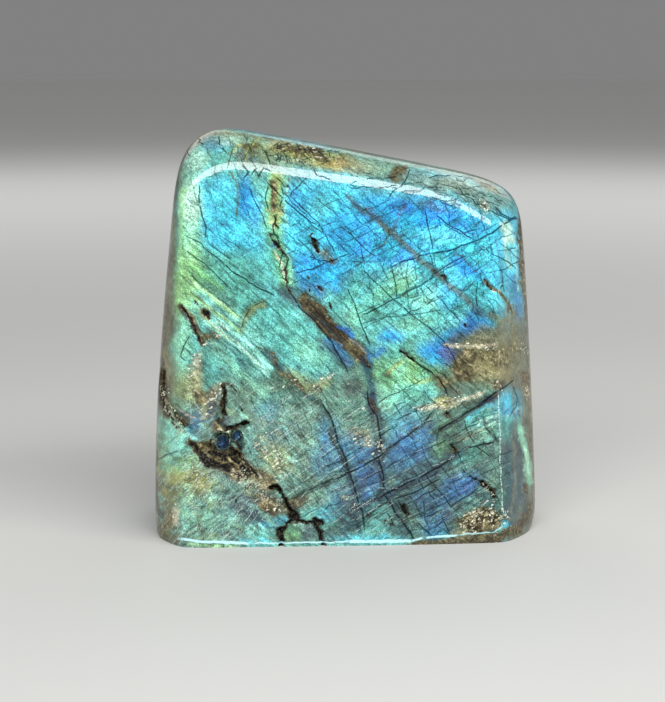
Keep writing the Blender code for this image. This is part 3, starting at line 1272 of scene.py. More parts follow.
# %% The cracks
FALLING = table("""
0.5 0.69 185,235 193,240 200,244 206,249
0.5 0.69 185,250 203,263 220,280 233,290
0.56 0.92 204,247 227,267 241,277 258,288 277,297
0.43 0.57 210,244 231,260
0.43 0.57 217,234 241,249
0.56 0.92 267,182 283,199 310,222 324,230
0.5 0.69 293,198 317,222 332,248 336,256
0.5 0.92 310,256 320,261 331,263
0.5 0.8 434,214 448,225 462,232 475,240
0.5 0.69 480,244 488,251 507,261 518,271
0.5 0.69 363,270 372,280 385,291 400,306
0.5 0.8 396,300 412,316 430,328 445,343 457,363
0.43 0.69 425,285 445,304 460,322
0.5 0.57 430,290 442,301
0.62 0.92 290,292 300,308 313,319 332,342 350,376
0.56 0.92 396,347 411,360 425,368 439,379 449,396
0.5 0.69 475,446 485,453 490,457
0.43 0.46 397,383 408,396 418,404
0.5 0.69 340,225 352,236 366,250 382,262
0.43 0.46 346,206 360,214 372,226
0.43 0.57 296,238 310,250 322,268
0.43 0.46 212,258 226,272 236,284
0.43 0.46 252,292 268,304 282,318
0.5 0.57 441,466 450,478
0.5 0.69 425,474 434,486 446,500 452,508
0.5 0.69 416,522 428,532 436,540
0.55 0.85 1330,60 1380,110 1440,150 1500,210
0.5 0.8 1560,90 1600,140 1660,180 1700,225
0.5 0.75 1230,170 1270,215 1330,270
0.55 0.85 1410,240 1470,300 1530,345
0.5 0.75 1640,240 1690,290 1740,330
0.5 0.75 1180,50 1220,95 1260,130
0.5 0.8 2070,160 2130,190 2200,215 2290,225
""")
RISING = table("""
0.63 0.77 294,273 312,269 327,263 350,253
0.63 0.88 385,269 405,261 430,253 451,250 469,243 486,237 496,230 509,221 517,216
0.56 0.66 430,277 440,270 452,262 466,256 475,252
0.63 0.88 362,316 385,304 405,293 420,286 436,276
0.49 0.55 360,324 382,318 405,316 430,312 451,308 464,304
0.49 0.55 345,242 362,236 376,228
0.49 0.44 352,262 372,262 392,260
0.4 0.6 241,330 243,320 249,310 258,304 266,301
0.63 0.88 322,486 349,473 379,456 396,443 416,429 426,420 434,410
0.7 0.85 438,430 447,425 459,418 469,412 481,404
1.19 0.99 479,405 488,399 497,392
0.63 0.66 497,392 506,386 514,380
0.84 0.99 352,510 383,495 416,479 434,470 455,456 464,449 480,445 498,442
0.7 0.88 366,516 392,500 420,490 441,478
0.56 0.66 451,507 469,495 479,488
0.63 0.66 289,500 309,490 329,481 350,470
0.56 0.55 159,460 167,455 179,451
0.56 0.66 424,517 441,510
0.56 0.66 434,529 448,517
0.56 0.55 345,530 366,520 380,512
0.49 0.44 436,452 452,444 470,436 490,428
0.49 0.44 470,424 485,416 500,412
0.49 0.44 384,470 402,462 420,452
0.49 0.44 388,418 402,408 414,402
0.49 0.44 455,300 470,286 482,276
0.49 0.55 400,522 420,514 436,506
0.6 0.9 1280,330 1350,290 1420,270 1500,225 1580,200
0.5 0.8 1430,130 1500,100 1560,90
0.55 0.8 1600,350 1660,320 1730,300 1790,260
0.5 0.8 1120,260 1180,230 1240,180
0.5 0.8 2090,240 2150,200 2190,170
0.5 0.9 242,165 249,172 243,178
0.45 0.8 250,177 255,168 259,177 264,168 272,172
0.5 0.8 276,177 281,182 288,189
0.5 0.85 313,169 316,176 324,177 330,181
0.45 0.7 391,188 396,189 402,186
0.45 0.85 430,197 440,200 447,201 456,199 455,204 448,206
0.45 0.85 459,187 464,196 473,199 476,204 484,204 488,210 492,211
0.5 0.85 492,211 499,216 509,219 518,218
0.45 0.8 460,195 468,194 475,197 480,201
0.4 0.6 432,186 440,184 457,188
0.5 0.85 495,207 501,214 506,216 511,218 517,216
0.4 0.6 445,225 460,234 470,231 482,228
0.4 0.6 498,250 506,250 516,248
""")
STEEP = table("""
0.6 0.95 274,215 276,220 273,227 274,234 279,239
0.5 0.9 271,234 276,236 279,243 274,245 272,240
0.55 0.95 281,248 288,258 286,267 281,272 283,277 289,282
0.45 0.85 283,252 280,260 279,268
0.45 0.8 268,186 266,198 268,210
0.45 0.8 281,184 284,196 280,206 284,214
0.52 0.77 199,183 200,204 203,217 206,230 205,238
0.52 0.55 187,197 192,203 200,205
0.52 0.66 249,187 255,201 263,218 267,230
0.52 0.55 233,148 229,160 227,170
0.52 0.55 254,139 249,149 244,159
0.52 0.55 241,158 244,166 249,172
0.52 0.77 425,209 427,218 429,232 433,250
0.45 0.66 478,282 477,290 476,300 478,307
0.45 0.55 433,252 435,266 434,276
0.52 0.66 390,262 394,280 397,298
0.45 0.55 408,262 406,276 409,290
0.59 0.77 347,288 353,300 364,331 370,346
0.72 0.94 367,389 370,406 376,415 379,428 382,447 378,457 383,476 384,494
0.72 0.94 384,494 396,513 406,526 414,540
0.85 0.99 321,401 331,419 337,438 344,456 349,471 356,492 362,511 365,534
0.52 0.66 310,175 301,184 293,191 290,197
0.52 0.66 190,335 184,345 180,356 186,361
0.52 0.55 421,446 426,458 434,470
0.52 0.66 464,420 468,432 474,444
0.52 0.55 484,424 490,432 498,442
0.45 0.44 440,424 436,440 440,452
0.52 0.55 386,256 382,268 388,280
0.59 0.66 410,168 406,178 401,186 392,192 387,200
0.52 0.55 424,500 424,517 430,530
0.52 0.55 512,386 518,398 516,408 509,418
0.52 0.44 243,322 240,334 246,342
0.5 0.75 1400,30 1410,110 1435,190
0.55 0.8 1540,180 1552,250 1575,335
0.5 0.75 1690,60 1700,130 1722,190
0.5 0.7 1180,270 1190,330 1204,380
0.5 0.7 1300,40 1310,90 1305,140
""")
# Pale lines are partly healed cracks and partly painted highlights and glints: the line down the crease at
# the lower right near x 500, the one at the lower left near x 178, and short glints in the lower middle.
PALE = table("""
0.3 0.85 499,391 499,421 500,444 501,482 502,496 504,518
0.1 0.5 377,488 388,488 399,488
0.15 0.6 360,506 368,501 374,497
0.1 0.4 385,484 396,478
0.1 0.4 350,474 366,466 382,456
0.1 0.4 178,506 178,524 179,540
0.1 0.4 190,398 191,412 191,422
0.1 0.4 352,498 372,488
0.1 0.4 440,462 452,458 460,452
0.15 0.8 236,452 244,460 252,468 258,475
0.15 0.8 244,457 250,466 256,472
0.1 0.7 228,430 230,440 229,450
""")
# Painted highlights: bright lines along the bottom edge of the front and along the far top edge, where the
# polished arrises catch the light.
EDGE_HIGHLIGHTS = table("""
1.2 0.9 178,539 206,541.5 230,543 250,543.6
0.7 0.65 250,543.6 350,541.5
1.7 0.9 348,541.5 380,541 413,540.5
1 0.75 411,540 431,537.5 458,535
0.45 0.5 458,535 493,532 504,526
0.5 0.8 281,138 310,143 340,148 366,153
""")
REACH = 8.0                   # no line is looked for farther away than this (squares)
comes_and_goes = smooth(0.6 + 0.9 * cloud(points, 15, 78))
comes_and_goes = np.where(turned_away | faces_up, comes_and_goes, 1.0)


def store_four(name, columns):
    """Four values for each point, stored as one colour with its alpha."""
    layer = stone.data.attributes.new(name, "FLOAT_COLOR", "POINT")
    layer.data.foreach_set("color", np.stack(columns, axis=1).astype(np.float32).ravel())
    print("stored", name)


def store_lines(name, lines, along_x):
    """Signed distance, distance, strength and half width of the nearest line, as a colour."""
    best = np.full(len(points), REACH)
    signed = np.full(len(points), REACH)
    strength = np.zeros(len(points))
    half_width = np.full(len(points), 0.5)
    order = 0 if along_x else 1
    for half, strong, line in lines:
        if line[0][order] > line[-1][order]:
            line = line[::-1]
        near = beside(line, REACH, line_right, line_down)
        distance, side, place = nearest_leg(line_right[near], line_down[near], line)
        closer = distance < best[near]
        fading = smooth(np.minimum(place, 1 - place) * 12 + 0.25)
        near = near[closer]
        best[near] = distance[closer]
        signed[near] = (distance * side)[closer]
        strength[near] = (strong * fading)[closer] * (border_fade * comes_and_goes)[near]
        half_width[near] = half
    store_four(name, [signed, best, strength, half_width])


store_lines("falling_cracks", FALLING, True)
store_lines("rising_cracks", RISING, True)
store_lines("steep_cracks", STEEP, False)
store_lines("pale_lines", PALE, False)
store_lines("painted_edge_highlights", EDGE_HIGHLIGHTS, True)

# %% [markdown]
# Between the large cracks lies a net of small ones. They follow the same cleavage
# directions, so a rule lays them instead of a hand: each oval region is filled with rows,
# a row is cut into short pieces, and every piece wanders a little on its way. The regions
# give the rise in degrees, the spacing of rows, the length of pieces, their strength, a
# middle and two radii. The short pale scratches that cleavage leaves in the lower half follow
# the same rule, but they wander less.

# %% The small cracks
NETS = {
    "small_falling": table("""
-43 15 28 0.6 430,262 88,72
-38 9 36 0.4 225,268 45,34
-47 11 28 0.6 312,350 50,60
-42 9 30 0.45 236,350 45,40
-40 13 22 0.7 420,375 50,30
-42 12 24 0.7 312,222 40,42
-40 17 46 0.8 1483,200 480,205
-30 16 30 0.7 2200,200 180,100
-25 7 11 0.7 470,194 34,15
-40 17 20 0.5 425,465 80,70
"""),
    "small_rising": table("""
27 13 30 0.65 430,262 90,72
27 10 34 0.7 420,462 88,78
25 14 22 0.6 330,250 46,50
27 11 26 0.6 300,470 48,55
8 8 16 0.8 420,180 70,14
20 5 9 0.9 310,152 44,14
34 15 14 0.35 215,430 50,30
28 15 42 0.8 1483,200 480,205
50 15 30 0.7 2200,200 180,100
"""),
    "small_steep": table("""
-78 16 20 0.6 430,266 82,66
-76 11 26 0.45 222,205 42,34
-60 15 18 0.7 430,470 78,68
-64 13 28 0.6 302,440 50,60
-70 14 10 0.9 250,150 70,12
-50 7 9 0.9 310,152 44,14
-72 24 26 0.8 1483,200 480,205
"""),
}
SCRATCHES = {
    "small_pale": table("""
50 6 13 0.9 205,505 62,48
42 9 10 0.6 188,465 34,44
37 8.5 24 0.8 305,450 52,58
42 11 10 0.5 250,410 40,34
32 9 14 0.6 345,515 50,30
28 11 22 0.4 425,470 85,60
"""),
}
WANDER = {"small_pale": 0.3}  # how far small lines stray from straight (squares)
CRACK_WANDER = 1.3


def luck(*numbers):
    """A repeatable value from 0 to 1 for some numbers."""
    return lattice(np.array([numbers[:2]]), sum(numbers[2:]))[0]


def net_row(centre, radii, rise, row, spacing, length, strong, wander):
    """The short pieces of one row of small cracks inside an oval."""
    turn = math.radians(rise)
    ahead = np.array([math.cos(turn), -math.sin(turn)])
    aside = np.array([math.sin(turn), math.cos(turn)])
    pieces = []
    start = -max(radii)
    while start < max(radii):
        size = length * (0.5 + luck(row, start, rise))
        steps = np.linspace(0, 1, 5)
        stray = [wander * 2 * (luck(row + step, start, 5) - 0.5) for step in steps]
        lift = spacing * (row + 0.5 * (luck(row, start, 9) - 0.5))
        line = [centre + ahead * (start + size * step) + aside * (lift + off)
                for step, off in zip(steps, stray)]
        inside = np.hypot(*((line[2] - centre) / radii)) < 1
        if inside:
            pieces.append((0.3 + 0.2 * luck(row, start, 2),
                           strong * (0.4 + 0.6 * luck(row, start, 3)), np.array(line)))
        start += size + length * 0.5 * luck(row, start, 4)
    return pieces


for name, regions in {**NETS, **SCRATCHES}.items():
    pieces = []
    for rise, spacing, length, strong, (centre, radii) in regions:
        rows = int(max(radii) / spacing)
        for row in range(-rows, rows + 1):
            pieces += net_row(centre, radii, rise, row, spacing, length, strong,
                              WANDER.get(name, CRACK_WANDER))
    print(len(pieces), "pieces of crack")
    store_lines(name, pieces, name != "small_steep")

# %% [markdown]
# More values go on the mesh. Sparkle marks where flakes of mica and pyrite glitter, raw
# marks where the polish never reached, and flash says how strongly the layers shine.
# Netted marks where the stone is crazed into blocks, rises where its fibres run up to the
# right, and scratched where pale cleavage lines cross the flash.

# %% Sparkle, raw stone and flash
SPARKLES = table("""
20 1 470,524 486,512 500,520
12 0.8 196,360 194,376 190,394
12 0.7 207,408 214,398 219,390
9 0.5 206,344 214,338 222,330
20 0.7 264,446 276,458 280,472
16 0.6 240,474 262,490 274,506
12 0.9 437,405 448,402 456,402
8 0.6 416,407 434,406
14 0.8 356,434 368,442
8 0.8 378,440 382,448
8 0.6 314,388 326,379 336,376
14 0.22 314,154 336,160 350,164
9 0.8 484,202 486,208
4 0.7 480,178 470,176
9 0.7 163,390 170,412 180,428
6 0.9 523,345 525,352
6 0.9 525,386 528,398
12 0.3 274,390 300,384
14 0.4 190,470 200,486
8 0.5 492,378 504,392
6 0.5 446,346 496,347
6 0.5 456,399 482,394
6 0.6 174,506 176,524
10 0.4 365,432 372,446 384,456
30 0.14 344,396 360,420 372,440
10 0.5 345,500 356,510
6 0.5 484,486 493,494
9 0.35 1350,150 1368,176
10 0.35 1412,240 1428,266
12 0.5 1600,100 1630,160
12 0.6 1262,270 1290,264
""")
RAW_STONE = table("""
20 0.9 470,524 486,513 500,521
8 0.7 163,372 163,398 172,414 182,424
7 1 198,459 208,463 222,464 234,469 246,479
""")

sparkle = np.zeros(len(points))
for width, strong, line in SPARKLES:
    sparkle = np.maximum(sparkle, strong * stroke(line, width, 0.7, line_right, line_down))
raw = smooth(openness * 2.5)
for width, strong, line in RAW_STONE:
    raw = np.maximum(raw, strong * stroke(line, width, 0.5, line_right, line_down))
flash = np.maximum(front, 0.8 * crest)
count = len(points)
store_four("first_draft", [*wash[:count].T, stain[:count]])
store_four("second_draft", [*wash[count:].T, stain[count:]])
store_four("ground", [soot, raw, sparkle, flash])
netted = in_view * np.maximum(blot((430, 265), (95, 75), 0, 0.4)[:count],
                              blot((415, 375), (60, 40), 0, 0.4)[:count])
netted = np.maximum(netted, 0.3 * in_view) + 0.8 * (1 - in_view)
rises = np.maximum(blot((420, 465), (95, 85), 0, 0.3)[:count], blot((200, 480), (60, 75), 0, 0.3)[:count])
rises = np.maximum(rises, blot((440, 250), (80, 60), 0, 0.3)[:count])
rises = rises * in_view + 0.5 * (1 - in_view)
scratched = np.maximum(blot((205, 500), (66, 56), 0, 0.4), 0.65 * blot((305, 450), (56, 56), 0, 0.5))
scratched = np.maximum(scratched, 0.22 * blot((420, 470), (95, 75), 0, 0.4))[:count]
store_four("tones", [stain_tone[:count], netted, rises, scratched])

# %% [markdown]
# Shader trees are easier to read when each node is made in one call. The helper takes the
# kind of node, its settings and what goes into its sockets: a number or colour is set
# there, and another node's output is linked.

# %% Shader helpers
def add_node(tree, kind, inputs=None, **settings):
    """One shader node, with its settings and with values or links in its sockets."""
    node = tree.nodes.new(kind)
    for name, value in settings.items():
        setattr(node, name, value)
    for socket, value in (inputs or {}).items():
        if isinstance(value, bpy.types.NodeSocket):
            tree.links.new(value, node.inputs[socket])
        else:
            node.inputs[socket].default_value = value
    return node


def calculate(tree, operation, first, second=0.0, third=0.0, clamp=False):
    """Output of a Math node."""
    node = add_node(tree, "ShaderNodeMath", {0: first, 1: second, 2: third},
                    operation=operation, use_clamp=clamp)
    return node.outputs[0]


def between(tree, value, low, high):
    """0 below low, 1 above high and an S curve between; low may be the larger one."""
    node = add_node(tree, "ShaderNodeMapRange",
                    {"Value": value, "From Min": low, "From Max": high},
                    interpolation_type="SMOOTHSTEP")
    return node.outputs["Result"]


def mixed(tree, share, first, second, blend="MIX"):
    """Output of a Mix node for colours."""
    node = add_node(tree, "ShaderNodeMix", {0: share, 6: first, 7: second},
                    data_type="RGBA", blend_type=blend)
    return node.outputs[2]


def new_group(name, sockets):
    """A node group with (name, kind, value) inputs and its own in and out nodes."""
    group = bpy.data.node_groups.new(name, "ShaderNodeTree")
    for label, kind, value in sockets:
        socket = group.interface.new_socket(label, in_out="INPUT", socket_type=kind)
        if value is not None:
            socket.default_value = value
    entry = group.nodes.new("NodeGroupInput")
    leave = group.nodes.new("NodeGroupOutput")
    return group, entry.outputs, leave.inputs


def group_output(group, label, kind="NodeSocketFloat"):
    group.interface.new_socket(label, in_out="OUTPUT", socket_type=kind)


print("shader helpers ready")

# %% [markdown]
# Fine fibres run through the whole face, because the layers inside are never quite even.
# They are noise, turned to the direction of the layers and drawn out along it.

# %% Fibres
fibres, given, result = new_group("stone_fibres", [
    ("Vector", "NodeSocketVector", None),
    ("Turn", "NodeSocketFloat", 0.0),
    ("Scale", "NodeSocketFloat", 1.0),
    ("Stretch", "NodeSocketFloat", 4.0),
])
group_output(fibres, "Value")
turned = add_node(fibres, "ShaderNodeVectorRotate", {"Vector": given["Vector"], "Angle": given["Turn"]},
                  rotation_type="Y_AXIS").outputs[0]
drawn_out = add_node(fibres, "ShaderNodeCombineXYZ", {
    0: calculate(fibres, "DIVIDE", 1.0, given["Stretch"]), 1: 1.0, 2: 1.0}).outputs[0]
stretched = add_node(fibres, "ShaderNodeVectorMath", {0: turned, 1: drawn_out},
                     operation="MULTIPLY").outputs[0]
grain = add_node(fibres, "ShaderNodeTexNoise", {
    "Vector": stretched, "Scale": given["Scale"], "Detail": 5.0, "Roughness": 0.62})
fibres.links.new(grain.outputs["Fac"], result["Value"])
print(fibres.name, len(fibres.nodes), "nodes")

# %% [markdown]
# A web of crazing breaks the glassy parts into small blocks, and each block lies at its
# own slight angle, so it shines a little more or less than the next. The borders of a
# Voronoi pattern are such a web once the pattern has been bent by noise, and the colour of
# each of its cells gives the block its tone.

# %% Crazing
crazing, given, result = new_group("stone_crazing", [
    ("Vector", "NodeSocketVector", None),
    ("Scale", "NodeSocketFloat", 200.0),
    ("Width", "NodeSocketFloat", 0.03),
    ("Bend", "NodeSocketFloat", 0.002),
])
group_output(crazing, "Mask")
group_output(crazing, "Block")
bender = add_node(crazing, "ShaderNodeTexNoise", {"Vector": given["Vector"], "Scale": 180.0, "Detail": 2.0})
centred = add_node(crazing, "ShaderNodeVectorMath", {0: bender.outputs["Color"], 1: (0.5, 0.5, 0.5)},
                   operation="SUBTRACT").outputs[0]
push = add_node(crazing, "ShaderNodeVectorMath", {0: centred, "Scale": given["Bend"]},
                operation="SCALE").outputs[0]
bent = add_node(crazing, "ShaderNodeVectorMath", {0: given["Vector"], 1: push}, operation="ADD").outputs[0]
cells = add_node(crazing, "ShaderNodeTexVoronoi", {"Vector": bent, "Scale": given["Scale"]},
                 feature="DISTANCE_TO_EDGE")
crazing.links.new(between(crazing, cells.outputs["Distance"], given["Width"], 0.0), result["Mask"])
blocks = add_node(crazing, "ShaderNodeTexVoronoi", {"Vector": bent, "Scale": given["Scale"]})
block_tone = add_node(crazing, "ShaderNodeSeparateColor", {0: blocks.outputs["Color"]}).outputs[0]
crazing.links.new(block_tone, result["Block"])
print(crazing.name, len(crazing.nodes), "nodes")

# %% [markdown]
# The drawn cracks come back out of their attributes here. The line is where the signed
# distance is small. The second value, the plain distance, is large half way between two
# cracks, where the sign also changes, and keeps a false line from showing there.

# %% Drawn lines
drawn_line, given, result = new_group("drawn_line", [
    ("Stored", "NodeSocketColor", None),
    ("Half Width", "NodeSocketFloat", 0.5),
    ("Break Up", "NodeSocketFloat", 0.5),
])
group_output(drawn_line, "Mask")
parts = add_node(drawn_line, "ShaderNodeSeparateColor", {0: given["Stored"]}).outputs
off_line = calculate(drawn_line, "ABSOLUTE", parts[0])
fading = calculate(drawn_line, "ADD", given["Half Width"], 0.6)
line = between(drawn_line, off_line, fading, calculate(drawn_line, "MULTIPLY", given["Half Width"], 0.35))
reach = calculate(drawn_line, "ADD", given["Half Width"], 2.0)
true_line = calculate(drawn_line, "LESS_THAN", parts[1], reach)
strong = calculate(drawn_line, "MULTIPLY", calculate(drawn_line, "MULTIPLY", parts[2], 1.5),
                   given["Break Up"])
mask = calculate(drawn_line, "MULTIPLY", calculate(drawn_line, "MULTIPLY", line, true_line), strong,
                 clamp=True)
drawn_line.links.new(mask, result["Mask"])
print(drawn_line.name, len(drawn_line.nodes), "nodes")

# %% [markdown]
# Flakes glitter one by one. Each cell of a fine Voronoi pattern takes a random value, and
# only the cells with the highest values light up, fewer or more of them as the sparkle
# value on the mesh allows. The lit cells get a colour up to near white: painted glints.

# %% Flakes
flakes, given, result = new_group("glittering_flakes", [
    ("Vector", "NodeSocketVector", None),
    ("Amount", "NodeSocketFloat", 0.3),
    ("Scale", "NodeSocketFloat", 1600.0),
])
group_output(flakes, "Mask")
group_output(flakes, "Tone")
tremor = add_node(flakes, "ShaderNodeTexNoise", {"Vector": given["Vector"], "Scale": 1700.0, "Detail": 2.0})
SHAKE = (0.0012, 0.0012, 0.0012)
shaken = add_node(flakes, "ShaderNodeVectorMath", {
    0: tremor.outputs["Color"], 1: SHAKE, 2: given["Vector"]}, operation="MULTIPLY_ADD").outputs[0]
tipped = add_node(flakes, "ShaderNodeVectorRotate", {"Vector": shaken, "Angle": math.radians(25)},
                  rotation_type="Y_AXIS").outputs[0]
longer = add_node(flakes, "ShaderNodeVectorMath", {0: tipped, 1: (0.5, 1.0, 1.0)},
                  operation="MULTIPLY").outputs[0]
cells = add_node(flakes, "ShaderNodeTexVoronoi", {"Vector": longer, "Scale": given["Scale"]})
chance = add_node(flakes, "ShaderNodeSeparateColor", {0: cells.outputs["Color"]}).outputs
limit = calculate(flakes, "SUBTRACT", 1.0, given["Amount"])
lit = between(flakes, chance[0], limit, calculate(flakes, "ADD", limit, 0.06))
core = between(flakes, cells.outputs["Distance"], 0.75, 0.35)
flakes.links.new(calculate(flakes, "MULTIPLY", lit, core), result["Mask"])
flakes.links.new(chance[1], result["Tone"])
print(flakes.name, len(flakes.nodes), "nodes")

# %% [markdown]
# Polished labradorite is a coat of gloss over colour that seems to lie inside the stone.
# The washes give the colour, the fibres and crazing break it up, the cracks go over them
# dark, and pale lines go over them too: the healed cracks, and painted highlights and glints.
# Flakes of gold come last, their brightest cells painted glints. A gem cutter would call the
# base almost metallic, but a metallic base would go dark wherever the room is dark.

# %% The finish
MATERIAL = "polished_labradorite"
finish = bpy.data.materials.new(MATERIAL)
finish.use_nodes = True
tree = finish.node_tree
surface = tree.nodes["Principled BSDF"]
place = add_node(tree, "ShaderNodeTexCoord").outputs["Object"]


def stored(name):
    """The outputs of a value that is stored on the mesh."""
    return add_node(tree, "ShaderNodeAttribute", attribute_name=name).outputs


def grouped(group, inputs):
    """The outputs of one of the node groups above."""
    node = add_node(tree, "ShaderNodeGroup", node_tree=group)
    for socket, value in inputs.items():
        if isinstance(value, bpy.types.NodeSocket):
            tree.links.new(value, node.inputs[socket])
        else:
            node.inputs[socket].default_value = value
    return node.outputs


def noise(scale, detail=3.0, roughness=0.5):
    """Plain noise over the stone, so many cells to the metre."""
    return add_node(tree, "ShaderNodeTexNoise", {
        "Vector": place, "Scale": scale, "Detail": detail, "Roughness": roughness}).outputs


def times(first, second):
    return calculate(tree, "MULTIPLY", first, second)


def times_plus(value, factor, extra):
    return calculate(tree, "MULTIPLY_ADD", value, factor, extra)


def larger(first, second):
    return calculate(tree, "MAXIMUM", first, second)


def less(value, taken):
    return calculate(tree, "SUBTRACT", value, taken)


def rescaled(value, low, high, to_low, to_high):
    """A value stretched from one range to another, and held inside it."""
    return add_node(tree, "ShaderNodeMapRange", {
        "Value": value, "From Min": low, "From Max": high,
        "To Min": to_low, "To Max": to_high}).outputs[0]


first_draft = stored("first_draft")
second_draft = stored("second_draft")
ground = stored("ground")
ground_parts = add_node(tree, "ShaderNodeSeparateColor", {0: ground["Color"]}).outputs
soot_value, raw_value, sparkle_value = ground_parts[0], ground_parts[1], ground_parts[2]
flash_value = ground["Alpha"]
falling = grouped(fibres, {"Vector": place, "Turn": math.radians(-41), "Scale": 1300.0, "Stretch": 4.0})
rising = grouped(fibres, {"Vector": place, "Turn": math.radians(30), "Scale": 1300.0, "Stretch": 4.0})
tones = stored("tones")
tone_parts = add_node(tree, "ShaderNodeSeparateColor", {0: tones["Color"]}).outputs
net_value, rises_value = tone_parts[1], tone_parts[2]
lean = times_plus(less(rises_value, 0.5), 0.5, noise(45.0, 1.0)["Fac"])
which_way = between(tree, lean, 0.42, 0.58)
fibre_value = mixed(tree, which_way, falling["Value"], rising["Value"])
lightness = rescaled(fibre_value, 0.3, 0.7, 0.28, 1.28)
depths = rescaled(noise(260.0, 3.0, 0.6)["Fac"], 0.32, 0.68, 0.75, 1.4)
speckle = rescaled(noise(3000.0, 2.0, 0.7)["Fac"], 0.3, 0.7, 0.33, 1.77)
lively = times(lightness, speckle)
calmed = times_plus(lively, 0.45, 0.5)
texture = add_node(tree, "ShaderNodeMix", {
    0: flash_value, 2: calmed, 3: lively}, data_type="FLOAT").outputs[0]
bolder = times_plus(tones["Alpha"], 0.15, 1.0)
texture = larger(times_plus(less(texture, 1.0), bolder, 1.0), 0.06)
web = grouped(crazing, {"Vector": place, "Scale": 210.0, "Width": 0.035, "Bend": 0.003})
block = times(less(web["Block"], 0.5), net_value)
texture = times(texture, times_plus(block, 0.44, 1.0))
switch = between(tree, grouped(fibres, {
    "Vector": place, "Turn": math.radians(-38), "Scale": 520.0, "Stretch": 3.5})["Value"], 0.48, 0.52)
wash_colour = mixed(tree, switch, first_draft["Color"], second_draft["Color"])
deepened = add_node(tree, "ShaderNodeGamma", {"Color": wash_colour, "Gamma": 1.12}).outputs[0]
shaded = mixed(tree, 1.0, deepened, times(texture, depths), "MULTIPLY")
drift = times_plus(block, 0.035, rescaled(noise(420.0, 4.0, 0.6)["Fac"], 0.3, 0.7, 0.482, 0.512))
tinted = add_node(tree, "ShaderNodeHueSaturation", {"Hue": drift, "Color": shaded}).outputs[0]
steeper = grouped(fibres, {"Vector": place, "Turn": math.radians(47), "Scale": 2200.0, "Stretch": 12.0})
flatter = grouped(fibres, {"Vector": place, "Turn": math.radians(28), "Scale": 2200.0, "Stretch": 12.0})
striae = between(tree, larger(steeper["Value"], flatter["Value"]), 0.6, 0.7)
striae = times(striae, tones["Alpha"])
striae = times(striae, between(tree, noise(200.0, 2.0)["Fac"], 0.38, 0.58))
tinted = mixed(tree, times(striae, 0.8), tinted, (0.55, 0.76, 0.66, 1.0))
print(MATERIAL, "body ready")

# %% [markdown]
# The lines go over the body colour. The dark ones also sink a little in the bump, and the
# false lines that crazing would draw outside the glassy part are held back by a mask.

# %% Lines and flakes on the finish
break_up = between(tree, noise(700.0, 2.0)["Fac"], 0.26, 0.46)
dark_lines = 0.0
for name in ("falling_cracks", "rising_cracks", "steep_cracks", *NETS):
    held = stored(name)
    one_way = grouped(drawn_line, {
        "Stored": held["Color"], "Half Width": held["Alpha"], "Break Up": break_up})["Mask"]
    dark_lines = larger(dark_lines, one_way)
pale_mask = 0.0
for name, amount in (("pale_lines", 1.0), ("small_pale", 0.6)):
    held = stored(name)
    one_way = grouped(drawn_line, {
        "Stored": held["Color"], "Half Width": times_plus(held["Alpha"], 0.9, -0.2),
        "Break Up": between(tree, noise(2400.0, 2.0)["Fac"], 0.4, 0.58)})["Mask"]
    pale_mask = larger(pale_mask, times(one_way, amount))
held = stored("painted_edge_highlights")
painted_highlight_mask = grouped(drawn_line, {
    "Stored": held["Color"], "Half Width": held["Alpha"], "Break Up": break_up})["Mask"]
glassy = times(net_value, between(tree, noise(60.0, 2.0)["Fac"], 0.36, 0.56))
web_mask = times(web["Mask"], times(glassy, 0.65))
fine_web = grouped(crazing, {"Vector": place, "Scale": 560.0, "Width": 0.07, "Bend": 0.004})
shining = times(flash_value, between(tree, noise(240.0, 3.0)["Fac"], 0.42, 0.6))
web_mask = larger(web_mask, times(fine_web["Mask"], times(shining, 0.4)))

stain_value = add_node(tree, "ShaderNodeMix", {
    0: switch, 2: first_draft["Alpha"], 3: second_draft["Alpha"]}, data_type="FLOAT").outputs[0]
crumble = noise(1500.0, 4.0, 0.65)["Fac"]
ragged = times_plus(less(crumble, 0.5), 1.6, stain_value)
stain_mask = between(tree, ragged, 0.42, 0.62)
foil = between(tree, sparkle_value, 0.7, 0.95)
# Painted light and shade on the gold patch: each crumpled cell is made lighter or darker, as a facet of
# foil that catches more or less light would be, and the creases between cells are painted dark.
crumpled = grouped(crazing, {"Vector": place, "Scale": 850.0, "Width": 0.12, "Bend": 0.006})
foil_facet_shading = times(less(crumpled["Block"], 0.55), foil)
contrast = times_plus(sparkle_value, 3.0, 2.6)
tone = times_plus(less(noise(1100.0, 5.0, 0.75)["Fac"], 0.5), contrast, tone_parts[0])
tone = times_plus(less(falling["Value"], 0.5), 1.6, tone)
tone = times_plus(foil_facet_shading, 1.2, tone)
browns = add_node(tree, "ShaderNodeValToRGB", {"Fac": tone})
browns.color_ramp.elements[0].position = 0.0
browns.color_ramp.elements[0].color = (0.022, 0.016, 0.011, 1.0)
browns.color_ramp.elements[1].position = 1.0
browns.color_ramp.elements[1].color = (0.5, 0.42, 0.27, 1.0)
for position, colour in ((0.35, (0.07, 0.055, 0.028, 1.0)), (0.7, (0.18, 0.17, 0.08, 1.0))):
    browns.color_ramp.elements.new(position).color = colour
stained = mixed(tree, times(stain_mask, 0.9), tinted, browns.outputs["Color"])

foil_crease_shade = times(times(crumpled["Mask"], foil), 0.85)
stained = mixed(tree, foil_crease_shade, stained, (0.03, 0.024, 0.015, 1.0))

